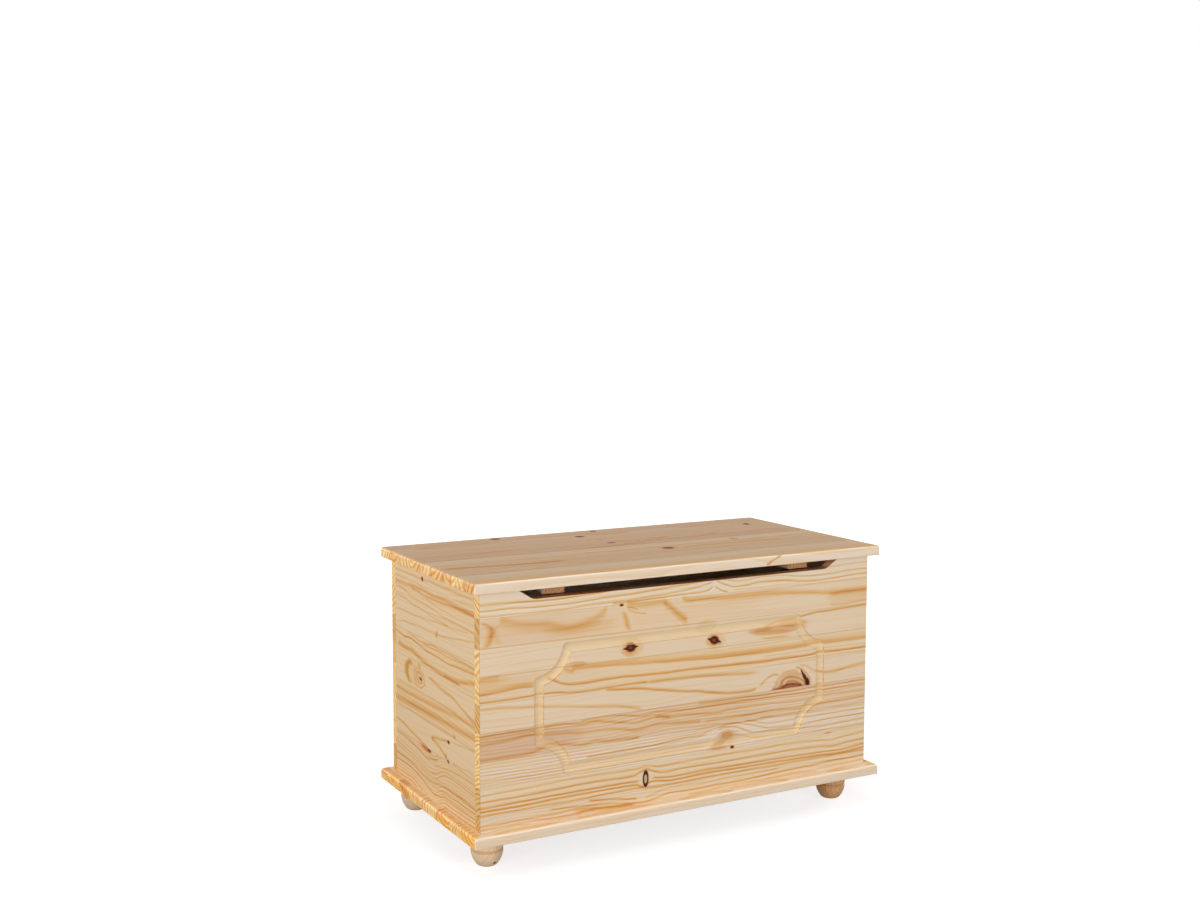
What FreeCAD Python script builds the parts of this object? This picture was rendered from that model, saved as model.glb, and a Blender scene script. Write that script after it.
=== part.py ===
import FreeCAD, Part
import math
import os
import Sketcher
from FreeCAD import Placement, Rotation, Vector

# Toy chest in natural pine: a box of edge-glued boards on four turned feet, with a hinged lid.
# Origin on the floor under the middle of the chest, X along the front, Y to the back, Z up.
# Lengths are in millimetres, angles in degrees.

SIZES = {
    # boards and their overhangs
    "carcass_width": 780,
    "carcass_depth": 382,
    "panel_height": 392,
    "panel_thickness": 18,
    "lid_thickness": 18,
    "base_thickness": 18,
    "lid_side_overhang": 15,
    "lid_end_overhang": 16,
    "base_side_overhang": 18,
    "base_end_overhang": 19,
    "edge_rounding": 5,
    "edge_easing": 1,
    "corner_rounding": 3,
    "panel_corner_rounding": 1.5,
    # finger gap in the top edge of the front panel
    "gap_side_margin": 67,
    "gap_depth": 18.5,
    "gap_ramp": 29,
    "gap_rounding": 20,
    # routed frame on the front panel
    "frame_side_margin": 97,
    "frame_bottom_margin": 75.6,
    "frame_top_margin": 96,
    "frame_notch": 52,
    "groove_width": 18,
    "groove_wall": 2,
    "groove_depth": 5,
    # turned feet
    "foot_height": 55,
    "foot_side_inset": 54,
    "foot_front_inset": 72,
    "foot_rear_inset": 37,
    "foot_sole_radius": 15,
    "foot_toe_radius": 19.4,
    "foot_toe_height": 4.2,
    "foot_toe_curve": 10,
    "foot_bulb_radius": 27.1,
    "foot_bulb_height": 25,
    "foot_bulb_curve": 38,
    "foot_scribe_depth": 1.7,
    "foot_scribe_width": 4.6,
    "foot_collar_radius": 26.4,
    "foot_collar_curve": 120,
    # lid battens
    "batten_width": 42,
    "batten_thickness": 17,
    "batten_side_margin": 143,
    "batten_front_gap": 4,
    "batten_back_gap": 14,
    "batten_rounding": 1.5,
    "batten_screw_margin": 35,
    # wood screws with a countersunk head
    "screw_radius": 2,
    "screw_head_radius": 4,
    "screw_point": 5,
    "screw_slot": 0.9,
    "screw_slot_reach": 2.4,
    "screw_slot_depth": 1.4,
    "batten_screw_length": 30,
    "base_screw_length": 50,
    "small_screw_length": 14,
    "small_screw_radius": 1.6,
    "small_screw_head_radius": 2.9,
    "base_screw_margin": 90,
    "base_screw_side_spacing": 120,
    # corner dowels and cam fittings
    "dowel_radius": 4,
    "dowel_length": 30,
    "dowel_bite": 10,
    "dowel_chamfer": 1,
    "cam_radius": 7.5,
    "cam_height": 12.5,
    "cam_setback": 34,
    "cam_recess": 5.2,
    "cam_recess_width": 2,
    "cam_recess_depth": 3,
    "bolt_radius": 3,
    "bolt_bite": 11,
    "bolt_neck_radius": 2,
    "bolt_neck_length": 5,
    "bolt_head_radius": 3.2,
    "bolt_head_length": 3.4,
    "bolt_collar_radius": 3.9,
    "bolt_collar_length": 1.6,
    "fitting_margin": 62,
    "fitting_pitch": 32,
    # foot bolts and insert nuts
    "foot_bolt_radius": 4,
    "foot_bolt_bite": 26,
    "foot_bolt_reach": 12,
    "foot_bolt_chamfer": 1.5,
    "insert_radius": 6,
    "insert_length": 13,
    # butt hinges
    "hinge_side_margin": 130,
    "hinge_length": 60,
    "hinge_leaf_width": 17,
    "hinge_leaf_thickness": 1.5,
    "barrel_radius": 3,
    "pin_radius": 1.5,
    "pin_head_radius": 2.4,
    "pin_head_length": 0.9,
    "hinge_screw_margin": 9,
    "hinge_screw_setback": 9.5,
    "lid_open_angle": 95,
    # slotted lid stays
    "stay_radius": 180,
    "stay_pivot_drop": 12,
    "stay_stud_drop": 73,
    "stay_offset": 24,
    "stay_arm_width": 16,
    "stay_arm_thickness": 2,
    "stay_slot_end_margin": 1,
    "stay_hook_length": 5,
    "plate_thickness": 2,
    "side_plate_width": 20,
    "side_plate_length": 52,
    "side_plate_rounding": 6,
    "plate_screw_margin": 8,
    "stud_radius": 3,
    "stud_collar_radius": 6,
    "washer_radius": 8,
    "washer_thickness": 1,
    "knob_radius": 9,
    "knob_thickness": 9.5,
    "knob_wall": 1.6,
    "knob_flute_radius": 2.2,
    "bracket_width": 20,
    "bracket_length": 44,
    "rivet_radius": 2.5,
    "rivet_head_radius": 4.6,
    "rivet_head_thickness": 1.3,
    # clearances
    "screw_clearance": 0.15,
    "dowel_clearance": 0.1,
    "cam_clearance": 0.2,
    "pin_clearance": 0.03,
    "running_pin_clearance": 0.12,
    "knuckle_clearance": 0.3,
    "mortise_clearance": 0.3,
    "slot_clearance": 0.3,
    "plate_clearance": 0.3,
    "cut_overrun": 2,
}

BATTEN_SCREW_SHARES = (0, 1 / 3, 2 / 3, 1)
KNUCKLES = 5
KNOB_FLUTES = 8

doc = FreeCAD.newDocument("toy_chest")
sheet = doc.addObject("Spreadsheet::Sheet", "Sizes")
for row, (alias, number) in enumerate(SIZES.items(), start=1):
    sheet.set(f"A{row}", alias)
    sheet.set(f"B{row}", str(number))
    sheet.setAlias(f"B{row}", alias)
doc.recompute()


class Size:
    """A length or an angle: its value, and the expression that binds it to the sheet."""

    def __init__(self, value, text):
        self.value = float(value)
        self.text = text

    def __add__(self, other):
        other = as_size(other)
        return Size(self.value + other.value, f"({self.text} + {other.text})")

    def __sub__(self, other):
        other = as_size(other)
        return Size(self.value - other.value, f"({self.text} - {other.text})")

    def __mul__(self, other):
        other = as_size(other)
        return Size(self.value * other.value, f"({self.text} * {other.text})")

    def __truediv__(self, other):
        other = as_size(other)
        return Size(self.value / other.value, f"({self.text} / {other.text})")

    def __rmul__(self, other):
        return as_size(other) * self

    def __neg__(self):
        return Size(-self.value, f"(0 - {self.text})")


def as_size(item):
    return item if isinstance(item, Size) else Size(item, str(item))


def size(alias):
    return Size(sheet.get(alias), f"Sizes.{alias}")


def root(item):
    return Size(math.sqrt(item.value), f"sqrt({item.text})")


def sine(angle):
    return Size(math.sin(math.radians(angle.value)), f"sin({angle.text} * 1 deg)")


def arc_sine(share):
    return Size(math.degrees(math.asin(share.value)), f"(asin({share.text}) / 1 deg)")


def arc_tangent(rise, run):
    return Size(math.degrees(math.atan2(rise.value, run.value)), f"(atan2({rise.text}; {run.text}) / 1 deg)")


def distance(start, end):
    across = end[0] - start[0]
    along = end[1] - start[1]
    return root(across * across + along * along)


# Planes shared by the pieces
half_width = size("carcass_width") / 2
half_depth = size("carcass_depth") / 2
panel = size("panel_thickness")
overrun = size("cut_overrun")
base_bottom = size("foot_height")
base_top = base_bottom + size("base_thickness")
panel_top = base_top + size("panel_height")
lid_top = panel_top + size("lid_thickness")
lid_half_width = half_width + size("lid_side_overhang")
lid_half_depth = half_depth + size("lid_end_overhang")
base_half_width = half_width + size("base_side_overhang")
base_half_depth = half_depth + size("base_end_overhang")
inner_half_width = half_width - panel
inner_half_depth = half_depth - panel
hinge_axis_y = half_depth + size("barrel_radius")
SIDES = {"left": -1, "right": 1}


# Drawing and feature helpers

def bind(item, name, length):
    item.setExpression(name, length.text)


def new_body(name):
    body = doc.addObject("PartDesign::Body", name)
    body.Label = name
    body.Placement = Placement()
    return body


def sketch_on(body, plane, at=0):
    """A sketch on one of the body's own planes; at is its place on the axis across that plane."""
    sketch = body.newObject("Sketcher::SketchObject", f"{body.Name}_sketch")
    roles = {item.Role: item for item in body.Origin.OriginFeatures}
    sketch.AttachmentSupport = (roles[f"{plane}_Plane"], [""])
    sketch.MapMode = "FlatFace"
    if isinstance(at, Size):
        shift = -at if plane == "XZ" else at
        sketch.AttachmentOffset = Placement(Vector(0, 0, shift.value), Rotation())
        bind(sketch, "AttachmentOffset.Base.z", shift)
    return sketch


def flat(point):
    return Vector(as_size(point[0]).value, as_size(point[1]).value, 0)


def pin_point(sketch, geometry, end, point):
    """Ties one point of a sketch to its x and y."""
    for kind, axis, coordinate in (("DistanceX", -2, point[0]), ("DistanceY", -1, point[1])):
        if isinstance(coordinate, Size):
            rule = Sketcher.Constraint(kind, -1, 1, geometry, end, coordinate.value)
            index = sketch.addConstraint(rule)
            bind(sketch, f"Constraints[{index}]", coordinate)
        else:
            sketch.addConstraint(Sketcher.Constraint("PointOnObject", geometry, end, axis))


def arc_through(start, end, radius, side):
    """A short arc from start to end; side 1 bulges to the left of the way, -1 to the right."""
    chord = end - start
    middle = (start + end) / 2
    normal = Vector(-chord.y, chord.x, 0) / chord.Length
    sagitta = radius - math.sqrt(radius ** 2 - (chord.Length / 2) ** 2)
    return Part.Arc(start, middle + normal * sagitta * side, end)


def draw_path(sketch, corners, closed=True):
    """Lines and arcs through the corners: (x, y), or (x, y, radius, side) where an arc leads there."""
    count = len(corners) if closed else len(corners) - 1
    pieces = []
    for index in range(count):
        start = flat(corners[index])
        corner = corners[(index + 1) % len(corners)]
        end = flat(corner)
        if len(corner) == 4:
            number = sketch.addGeometry(arc_through(start, end, corner[2].value, corner[3]))
            rule = sketch.addConstraint(Sketcher.Constraint("Radius", number, corner[2].value))
            bind(sketch, f"Constraints[{rule}]", corner[2])
        else:
            number = sketch.addGeometry(Part.LineSegment(start, end))
        swapped = (sketch.getPoint(number, 1) - start).Length > (sketch.getPoint(number, 2) - start).Length
        pieces.append((number, 2, 1) if swapped else (number, 1, 2))
    for index, (number, start_end, far_end) in enumerate(pieces):
        pin_point(sketch, number, start_end, corners[index])
        if index + 1 < count or closed:
            follower = pieces[(index + 1) % count]
            sketch.addConstraint(Sketcher.Constraint("Coincident", number, far_end, follower[0], follower[1]))
        else:
            pin_point(sketch, number, far_end, corners[index + 1])


def draw_box(sketch, left, right, low, high):
    draw_path(sketch, [(left, low), (right, low), (right, high), (left, high)])


def draw_circles(sketch, centres, radius):
    for centre in centres:
        number = sketch.addGeometry(Part.Circle(flat(centre), Vector(0, 0, 1), radius.value))
        pin_point(sketch, number, 3, centre)
        rule = sketch.addConstraint(Sketcher.Constraint("Radius", number, radius.value))
        bind(sketch, f"Constraints[{rule}]", radius)


def extrude(body, plane, start, end, cut=False):
    """An empty sketch at start whose pad or pocket reaches end; the caller draws in it."""
    sketch = sketch_on(body, plane, start)
    forward = as_size(end).value > as_size(start).value
    kind = "Pocket" if cut else "Pad"
    feature = body.newObject(f"PartDesign::{kind}", f"{body.Name}_{kind.lower()}")
    feature.Profile = sketch
    reach = as_size(end) - as_size(start) if forward else as_size(start) - as_size(end)
    bind(feature, "Length", reach)
    against_normal = forward if plane == "XZ" else not forward
    feature.Reversed = against_normal != cut
    return sketch


def turn(body, profile, cut=False):
    """Turns a profile of (radius, height) corners about the body's own Z axis."""
    sketch = sketch_on(body, "XZ")
    draw_path(sketch, profile)
    kind = "Groove" if cut else "Revolution"
    feature = body.newObject(f"PartDesign::{kind}", f"{body.Name}_{kind.lower()}")
    feature.Profile = sketch
    feature.ReferenceAxis = (sketch, ["V_Axis"])
    return feature


def dress(body, kind, chosen, amount):
    """A fillet or chamfer on the edges of the body's tip that the test picks."""
    doc.recompute()
    tip = body.Tip
    names = [f"Edge{number}" for number, edge in enumerate(tip.Shape.Edges, start=1) if chosen(edge)]
    feature = body.newObject(f"PartDesign::{kind}", f"{body.Name}_{kind.lower()}")
    feature.Base = (tip, names)
    bind(feature, "Radius" if kind == "Fillet" else "Size", amount)
    return feature


def same(first, second):
    return math.isclose(first, as_size(second).value, rel_tol=0, abs_tol=overrun.value / 1000)


def is_upright(edge):
    """True for an edge that runs along Z."""
    box = edge.BoundBox
    return same(box.XLength, 0) and same(box.YLength, 0)


def lies_level(edge, height):
    box = edge.BoundBox
    return same(box.ZMin, height) and same(box.ZMax, height)


def is_circle(edge, radius):
    return edge.isClosed() and same(edge.Length, 2 * math.pi * radius.value)


def place(item, where, turn_to=None):
    """Moves an item to a place made of sizes, and turns it if a rotation is given."""
    numbers = [as_size(coordinate).value for coordinate in where]
    item.Placement = Placement(Vector(*numbers), turn_to or Rotation())
    for axis, coordinate in zip("xyz", where):
        if isinstance(coordinate, Size):
            bind(item, f"Placement.Base.{axis}", coordinate)


def group(name, master, places):
    """One node of identical fasteners: links to a master, each at its place and rotation."""
    links = []
    for number, (where, turn_to) in enumerate(places, start=1):
        link = doc.addObject("App::Link", f"{name}_{number}")
        link.LinkedObject = master
        place(link, where, turn_to)
        links.append(link)
    compound = doc.addObject("Part::Compound", name)
    compound.Label = name
    compound.Links = links
    return compound


# Ways that a fastener drawn along +Z can point
UP = Rotation()
DOWN = Rotation(Vector(1, 0, 0), 180)
TO_FRONT = Rotation(Vector(1, 0, 0), 90)
TO_BACK = Rotation(Vector(1, 0, 0), -90)
TO_RIGHT = Rotation(Vector(0, 1, 0), 90)
TO_LEFT = Rotation(Vector(0, 1, 0), -90)
SIDEWAYS = {-1: TO_LEFT, 1: TO_RIGHT}

nodes = []


# Places of the fasteners, used by the pieces they join as well

fitting_low = base_top + size("fitting_margin")
fitting_high = panel_top - size("fitting_margin")
cam_heights = [fitting_low, fitting_high]
dowel_heights = [fitting_low + size("fitting_pitch"), fitting_high - size("fitting_pitch")]
side_middle = half_width - panel / 2
end_middle = half_depth - panel / 2
base_screw_x = half_width - size("base_screw_margin")
base_screw_xs = [-base_screw_x, 0, base_screw_x]
base_screw_ys = [-size("base_screw_side_spacing") / 2, size("base_screw_side_spacing") / 2]
screw_hole = size("screw_radius") + size("screw_clearance")
sink = size("screw_head_radius") - size("screw_radius")
small_sink = size("small_screw_head_radius") - size("small_screw_radius")
small_screw_hole = size("small_screw_radius") + size("screw_clearance")
dowel_hole = size("dowel_radius") + size("dowel_clearance")
bolt_hole = size("bolt_radius") + size("cam_clearance")
cam_hole = size("cam_radius") + size("cam_clearance")
foot_x = base_half_width - size("foot_side_inset")
foot_ys = {"front": size("foot_front_inset") - base_half_depth, "rear": base_half_depth - size("foot_rear_inset")}
foot_places = [(side * foot_x, foot_y) for side in SIDES.values() for foot_y in foot_ys.values()]

hinge_start = size("hinge_length") / 2
hinge_screw_offsets = [size("hinge_screw_margin") - hinge_start, 0, hinge_start - size("hinge_screw_margin")]
hinge_x = half_width - size("hinge_side_margin")
hinge_xs = {name: side * hinge_x for name, side in SIDES.items()}
hinge_screw_y = hinge_axis_y - size("hinge_screw_setback")
hinge_screw_places = [(x + offset, hinge_screw_y) for x in hinge_xs.values() for offset in hinge_screw_offsets]

batten_front = size("batten_front_gap") - inner_half_depth
batten_back = inner_half_depth - size("batten_back_gap")
batten_middle = half_width - size("batten_side_margin")
first_batten_screw = batten_front + size("batten_screw_margin")
batten_reach = batten_back - size("batten_screw_margin") - first_batten_screw
batten_screw_ys = [first_batten_screw + share * batten_reach for share in BATTEN_SCREW_SHARES]
batten_bottom = panel_top - size("batten_thickness")

# The stay's lid pivot and stud lie at one distance from the hinge axis,
# so the arm turns by half of the lid's angle and its slot slides along the stud.
stay_radius = size("stay_radius")
pivot_z = panel_top - size("stay_pivot_drop")
stud_z = panel_top - size("stay_stud_drop")
pivot_y = hinge_axis_y - root(stay_radius * stay_radius - size("stay_pivot_drop") * size("stay_pivot_drop"))
stud_y = hinge_axis_y - root(stay_radius * stay_radius - size("stay_stud_drop") * size("stay_stud_drop"))
closed_reach = distance((pivot_y, pivot_z), (stud_y, stud_z))
closed_angle = arc_sine(size("stay_stud_drop") / stay_radius) - arc_sine(size("stay_pivot_drop") / stay_radius)
open_reach = 2 * stay_radius * sine((closed_angle + size("lid_open_angle")) / 2)
arm_tilt = arc_tangent(pivot_z - stud_z, stud_y - pivot_y)
arm_half = size("stay_arm_width") / 2
# Planes of the stay, counted from the side panel's inner face towards the middle of the chest
plate_face = size("plate_thickness")
arm_outer = size("stay_offset") / 4
arm_inner = arm_outer + size("stay_arm_thickness")
plate_screw_zs = [
    stud_z - size("side_plate_length") / 2 + size("plate_screw_margin"),
    stud_z + size("side_plate_length") / 2 - size("plate_screw_margin"),
]
bracket_tab_outer = arm_inner + size("plate_clearance")
bracket_tab_inner = bracket_tab_outer + size("plate_thickness")
bracket_inner = bracket_tab_outer + size("bracket_width")
bracket_screw_depth = bracket_tab_inner + (size("bracket_width") - size("plate_thickness")) / 2
bracket_screw_ys = [
    pivot_y - size("bracket_length") / 2 + size("plate_screw_margin"),
    pivot_y + size("bracket_length") / 2 - size("plate_screw_margin"),
]


# Fasteners, each drawn once along +Z from its seat at the origin

def make_screw(name, radius, head_radius, length):
    """A countersunk screw: its head's flat face lies at the origin and its point is up at +Z."""
    body = new_body(name)
    neck = head_radius - radius
    turn(body, [
        (0, 0),
        (head_radius, 0),
        (radius, neck),
        (radius, length - size("screw_point")),
        (0, length),
    ])
    share = radius / size("screw_radius")
    recess = share * size("screw_slot_reach")
    half_slot = size("screw_slot") / 2
    cross = extrude(body, "XY", -overrun, share * size("screw_slot_depth"), cut=True)
    draw_path(cross, [
        (recess, -half_slot), (recess, half_slot), (half_slot, half_slot),
        (half_slot, recess), (-half_slot, recess), (-half_slot, half_slot),
        (-recess, half_slot), (-recess, -half_slot), (-half_slot, -half_slot),
        (-half_slot, -recess), (half_slot, -recess), (half_slot, -half_slot),
    ])
    return body


def make_dowel():
    body = new_body("dowel")
    radius = size("dowel_radius")
    chamfer = size("dowel_chamfer")
    length = size("dowel_length")
    turn(body, [
        (0, 0), (radius - chamfer, 0), (radius, chamfer),
        (radius, length - chamfer), (radius - chamfer, length), (0, length),
    ])
    return body


def make_cam_bolt():
    """Its collar sits on the panel's face at the origin, its head lies in the cam at +Z."""
    body = new_body("cam_bolt")
    shank = size("bolt_radius")
    head_top = size("cam_setback") + size("bolt_head_length") / 2
    head_foot = head_top - size("bolt_head_length")
    turn(body, [
        (0, -size("bolt_bite")),
        (shank / 2, -size("bolt_bite")),
        (shank, shank / 2 - size("bolt_bite")),
        (shank, 0),
        (size("bolt_collar_radius"), 0),
        (size("bolt_collar_radius"), size("bolt_collar_length")),
        (shank, size("bolt_collar_length")),
        (shank, head_foot - size("bolt_neck_length")),
        (size("bolt_neck_radius"), head_foot - size("bolt_neck_length")),
        (size("bolt_neck_radius"), head_foot),
        (size("bolt_head_radius"), head_foot),
        (size("bolt_head_radius"), head_top),
        (0, head_top),
    ])
    return body


def make_cam_disc():
    """Its face with the cross recess lies at the origin, the disc reaches up to +Z; the bolt comes along -X."""
    body = new_body("cam_disc")
    draw_circles(extrude(body, "XY", 0, size("cam_height")), [(0, 0)], size("cam_radius"))
    mouth = size("bolt_head_radius") + size("cam_clearance")
    way_in = extrude(body, "XY", panel / 2 - mouth, size("cam_height") + overrun, cut=True)
    draw_box(way_in, -size("cam_radius") - overrun, size("bolt_head_length"), -mouth, mouth)
    reach = size("cam_recess")
    half_slot = size("cam_recess_width") / 2
    for across, along in ((reach, half_slot), (half_slot, reach)):
        slot = extrude(body, "XY", -overrun, size("cam_recess_depth"), cut=True)
        draw_box(slot, -across, across, -along, along)
    return body


def make_foot_bolt():
    """A hanger bolt: the wood thread goes down from the origin, the machine thread up."""
    body = new_body("foot_bolt")
    radius = size("foot_bolt_radius")
    chamfer = size("foot_bolt_chamfer")
    turn(body, [
        (0, -size("foot_bolt_bite")),
        (radius - chamfer, chamfer * 2 - size("foot_bolt_bite")),
        (radius, chamfer * 3 - size("foot_bolt_bite")),
        (radius, size("foot_bolt_reach") - chamfer),
        (radius - chamfer, size("foot_bolt_reach")),
        (0, size("foot_bolt_reach")),
    ])
    return body


def make_insert_nut():
    body = new_body("insert_nut")
    sketch = extrude(body, "XY", 0, size("insert_length"))
    draw_circles(sketch, [(0, 0)], size("insert_radius"))
    draw_circles(sketch, [(0, 0)], size("foot_bolt_radius") + size("screw_clearance"))
    return body


# Carcass

def cut_end_fittings(body, inward, inner_face):
    """Bores for the cam bolts and dowels in a front or back panel's inner face."""
    for heights, radius, depth in (
        (cam_heights, bolt_hole, size("bolt_bite") + size("cam_clearance")),
        (dowel_heights, dowel_hole, size("dowel_bite") + size("dowel_clearance")),
    ):
        floor = inner_face - inward * depth
        centres = [(side * side_middle, height) for side in SIDES.values() for height in heights]
        draw_circles(extrude(body, "XZ", inner_face, floor, cut=True), centres, radius)


def cut_base_screws(body, centres):
    """Pilot bores for the base screws, up from a panel's bottom edge."""
    depth = size("base_screw_length") - size("base_thickness") + size("screw_clearance")
    draw_circles(extrude(body, "XY", base_top, base_top + depth, cut=True), centres, screw_hole)


def round_outer_corners(body, face):
    dress(body, "Fillet", lambda edge: is_upright(edge) and same(edge.BoundBox.YMin, face)
          and same(abs(edge.BoundBox.XMin), half_width), size("panel_corner_rounding"))


def cut_moulding(body):
    """The routed frame: one swept groove with a hollow floor, notched round at its four corners."""
    half_groove = size("groove_width") / 2
    notch = size("frame_notch") + half_groove
    reach = root(notch * notch - half_groove * half_groove)
    frame_bottom = base_top + size("frame_bottom_margin")
    frame_top = panel_top - size("frame_top_margin")
    middle = (frame_bottom + frame_top) / 2
    corner_x = half_width - size("frame_side_margin")
    corner_z = frame_top - middle
    run_x = corner_x - half_groove
    run_z = corner_z - half_groove
    stop_x = corner_x - reach
    stop_z = corner_z - reach
    spine = sketch_on(body, "XZ")
    draw_path(spine, [
        (-stop_x, middle + run_z, notch, -1),
        (stop_x, middle + run_z),
        (run_x, middle + stop_z, notch, -1),
        (run_x, middle - stop_z),
        (stop_x, middle - run_z, notch, -1),
        (-stop_x, middle - run_z),
        (-run_x, middle - stop_z, notch, -1),
        (-run_x, middle + stop_z),
    ])
    face = -half_depth
    hollow = size("groove_depth") - size("groove_wall")
    hollow_radius = (half_groove * half_groove + hollow * hollow) / (2 * hollow)
    section = sketch_on(body, "YZ")
    draw_path(section, [
        (face - overrun, middle + corner_z - size("groove_width")),
        (face + size("groove_wall"), middle + corner_z - size("groove_width")),
        (face + size("groove_wall"), middle + corner_z, hollow_radius, -1),
        (face - overrun, middle + corner_z),
    ])
    groove = body.newObject("PartDesign::SubtractivePipe", "moulding_groove")
    groove.Profile = section
    groove.Spine = (spine, [])
    groove.Transition = "Round corner"


def make_front_panel():
    body = new_body("front_panel")
    gap_half = half_width - size("gap_side_margin")
    floor_half = gap_half - size("gap_ramp")
    gap_floor = panel_top - size("gap_depth")
    outline = extrude(body, "XZ", -half_depth, -inner_half_depth)
    draw_path(outline, [
        (-half_width, base_top), (half_width, base_top), (half_width, panel_top),
        (gap_half, panel_top), (floor_half, gap_floor),
        (-floor_half, gap_floor), (-gap_half, panel_top), (-half_width, panel_top),
    ])
    dress(body, "Fillet", lambda edge: same(edge.BoundBox.XLength, 0) and lies_level(edge, gap_floor),
          size("gap_rounding"))
    gap_corner = gap_half.value
    dress(body, "Fillet", lambda edge: abs(edge.CenterOfMass.x) < gap_corner
          and edge.BoundBox.ZMin > gap_floor.value - overrun.value / 1000
          and same(edge.BoundBox.YLength, 0), size("edge_easing"))
    round_outer_corners(body, -half_depth)
    cut_moulding(body)
    cut_end_fittings(body, 1, -inner_half_depth)
    cut_base_screws(body, [(x, -end_middle) for x in base_screw_xs])
    nodes.append(body)


def cut_mortise(body, x, floor, front, back):
    """A shallow pocket for a hinge leaf, from the boards' joint to its floor."""
    half = size("hinge_length") / 2 + size("mortise_clearance")
    draw_box(extrude(body, "XY", panel_top, floor, cut=True), x - half, x + half, front, back)


def make_back_panel():
    body = new_body("back_panel")
    draw_box(extrude(body, "XZ", half_depth, inner_half_depth), -half_width, half_width, base_top, panel_top)
    round_outer_corners(body, half_depth)
    leaf_front = hinge_axis_y - size("hinge_leaf_width") - size("mortise_clearance")
    for x in hinge_xs.values():
        cut_mortise(body, x, panel_top - size("barrel_radius"), leaf_front, half_depth + overrun)
    cut_end_fittings(body, -1, inner_half_depth)
    cut_base_screws(body, [(x, end_middle) for x in base_screw_xs])
    leaf_top = panel_top - size("barrel_radius") + size("hinge_leaf_thickness")
    pilot_floor = leaf_top - size("small_screw_length") - size("screw_clearance")
    draw_circles(extrude(body, "XY", leaf_top, pilot_floor, cut=True), hinge_screw_places, small_screw_hole)
    nodes.append(body)


def make_side_panel(name, side):
    body = new_body(f"{name}_side_panel")
    inner = side * inner_half_width
    draw_box(extrude(body, "YZ", inner, side * half_width), -inner_half_depth, inner_half_depth, base_top, panel_top)
    for end in (-1, 1):
        face = end * inner_half_depth
        cam_y = end * (inner_half_depth - size("cam_setback"))
        cam_floor = inner + side * (size("cam_height") + size("cam_clearance"))
        pocket = extrude(body, "YZ", inner, cam_floor, cut=True)
        draw_circles(pocket, [(cam_y, height) for height in cam_heights], cam_hole)
        sides = [(side * side_middle, height) for height in cam_heights]
        bolt_way = extrude(body, "XZ", face, cam_y, cut=True)
        draw_circles(bolt_way, sides, size("bolt_collar_radius") + size("cam_clearance"))
        dowel_floor = face - end * (size("dowel_length") - size("dowel_bite") + size("dowel_clearance"))
        dowels = extrude(body, "XZ", face, dowel_floor, cut=True)
        draw_circles(dowels, [(side * side_middle, height) for height in dowel_heights], dowel_hole)
    cut_base_screws(body, [(side * side_middle, y) for y in base_screw_ys])
    pilot = side * (inner_half_width - plate_face + size("small_screw_length") + size("screw_clearance"))
    draw_circles(extrude(body, "YZ", inner, pilot, cut=True), [(stud_y, height) for height in plate_screw_zs],
                 small_screw_hole)
    nodes.append(body)


def make_board(name, half_long, half_deep, bottom, top):
    """A lid or base board, with its upright corners and its top edge rounded."""
    body = new_body(name)
    sheet_plan = extrude(body, "XY", bottom, top)
    draw_box(sheet_plan, -half_long, half_long, -half_deep, half_deep)
    dress(body, "Fillet", is_upright, size("corner_rounding"))
    dress(body, "Fillet", lambda edge: lies_level(edge, top), size("edge_rounding"))
    dress(body, "Fillet", lambda edge: lies_level(edge, bottom), size("edge_easing"))
    return body


def make_base_board():
    body = make_board("base_board", base_half_width, base_half_depth, base_bottom, base_top)
    screws = [(x, side * end_middle) for side in SIDES.values() for x in base_screw_xs]
    screws += [(side * side_middle, y) for side in SIDES.values() for y in base_screw_ys]
    draw_circles(extrude(body, "XY", base_bottom - overrun, base_top + overrun, cut=True), screws, screw_hole)
    dress(body, "Chamfer", lambda edge: is_circle(edge, screw_hole) and lies_level(edge, base_bottom), sink)
    nut_top = base_bottom + size("insert_length") + size("screw_clearance")
    nuts = extrude(body, "XY", base_bottom, nut_top, cut=True)
    draw_circles(nuts, foot_places, size("insert_radius") + size("screw_clearance"))
    nodes.append(body)
    return screws


def make_foot(name, where):
    """A turned bun foot with a scribed line between bulb and collar."""
    body = new_body(name)
    scribe_low = size("foot_bulb_height")
    scribe_high = scribe_low + size("foot_scribe_width")
    scribe_half = size("foot_scribe_width") / 2
    scribe_depth = size("foot_scribe_depth")
    scribe_curve = (scribe_half * scribe_half + scribe_depth * scribe_depth) / (2 * scribe_depth)
    turn(body, [
        (0, 0),
        (size("foot_sole_radius"), 0),
        (size("foot_toe_radius"), size("foot_toe_height"), size("foot_toe_curve"), -1),
        (size("foot_bulb_radius"), scribe_low, size("foot_bulb_curve"), -1),
        (size("foot_bulb_radius"), scribe_high, scribe_curve, 1),
        (size("foot_collar_radius"), base_bottom, size("foot_collar_curve"), -1),
        (0, base_bottom),
    ])
    bore_floor = base_bottom - size("foot_bolt_bite") - size("screw_clearance")
    bore = extrude(body, "XY", base_bottom, bore_floor, cut=True)
    draw_circles(bore, [(0, 0)], size("foot_bolt_radius") + size("screw_clearance"))
    place(body, (where[0], where[1], 0))
    nodes.append(body)


# Lid

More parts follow.
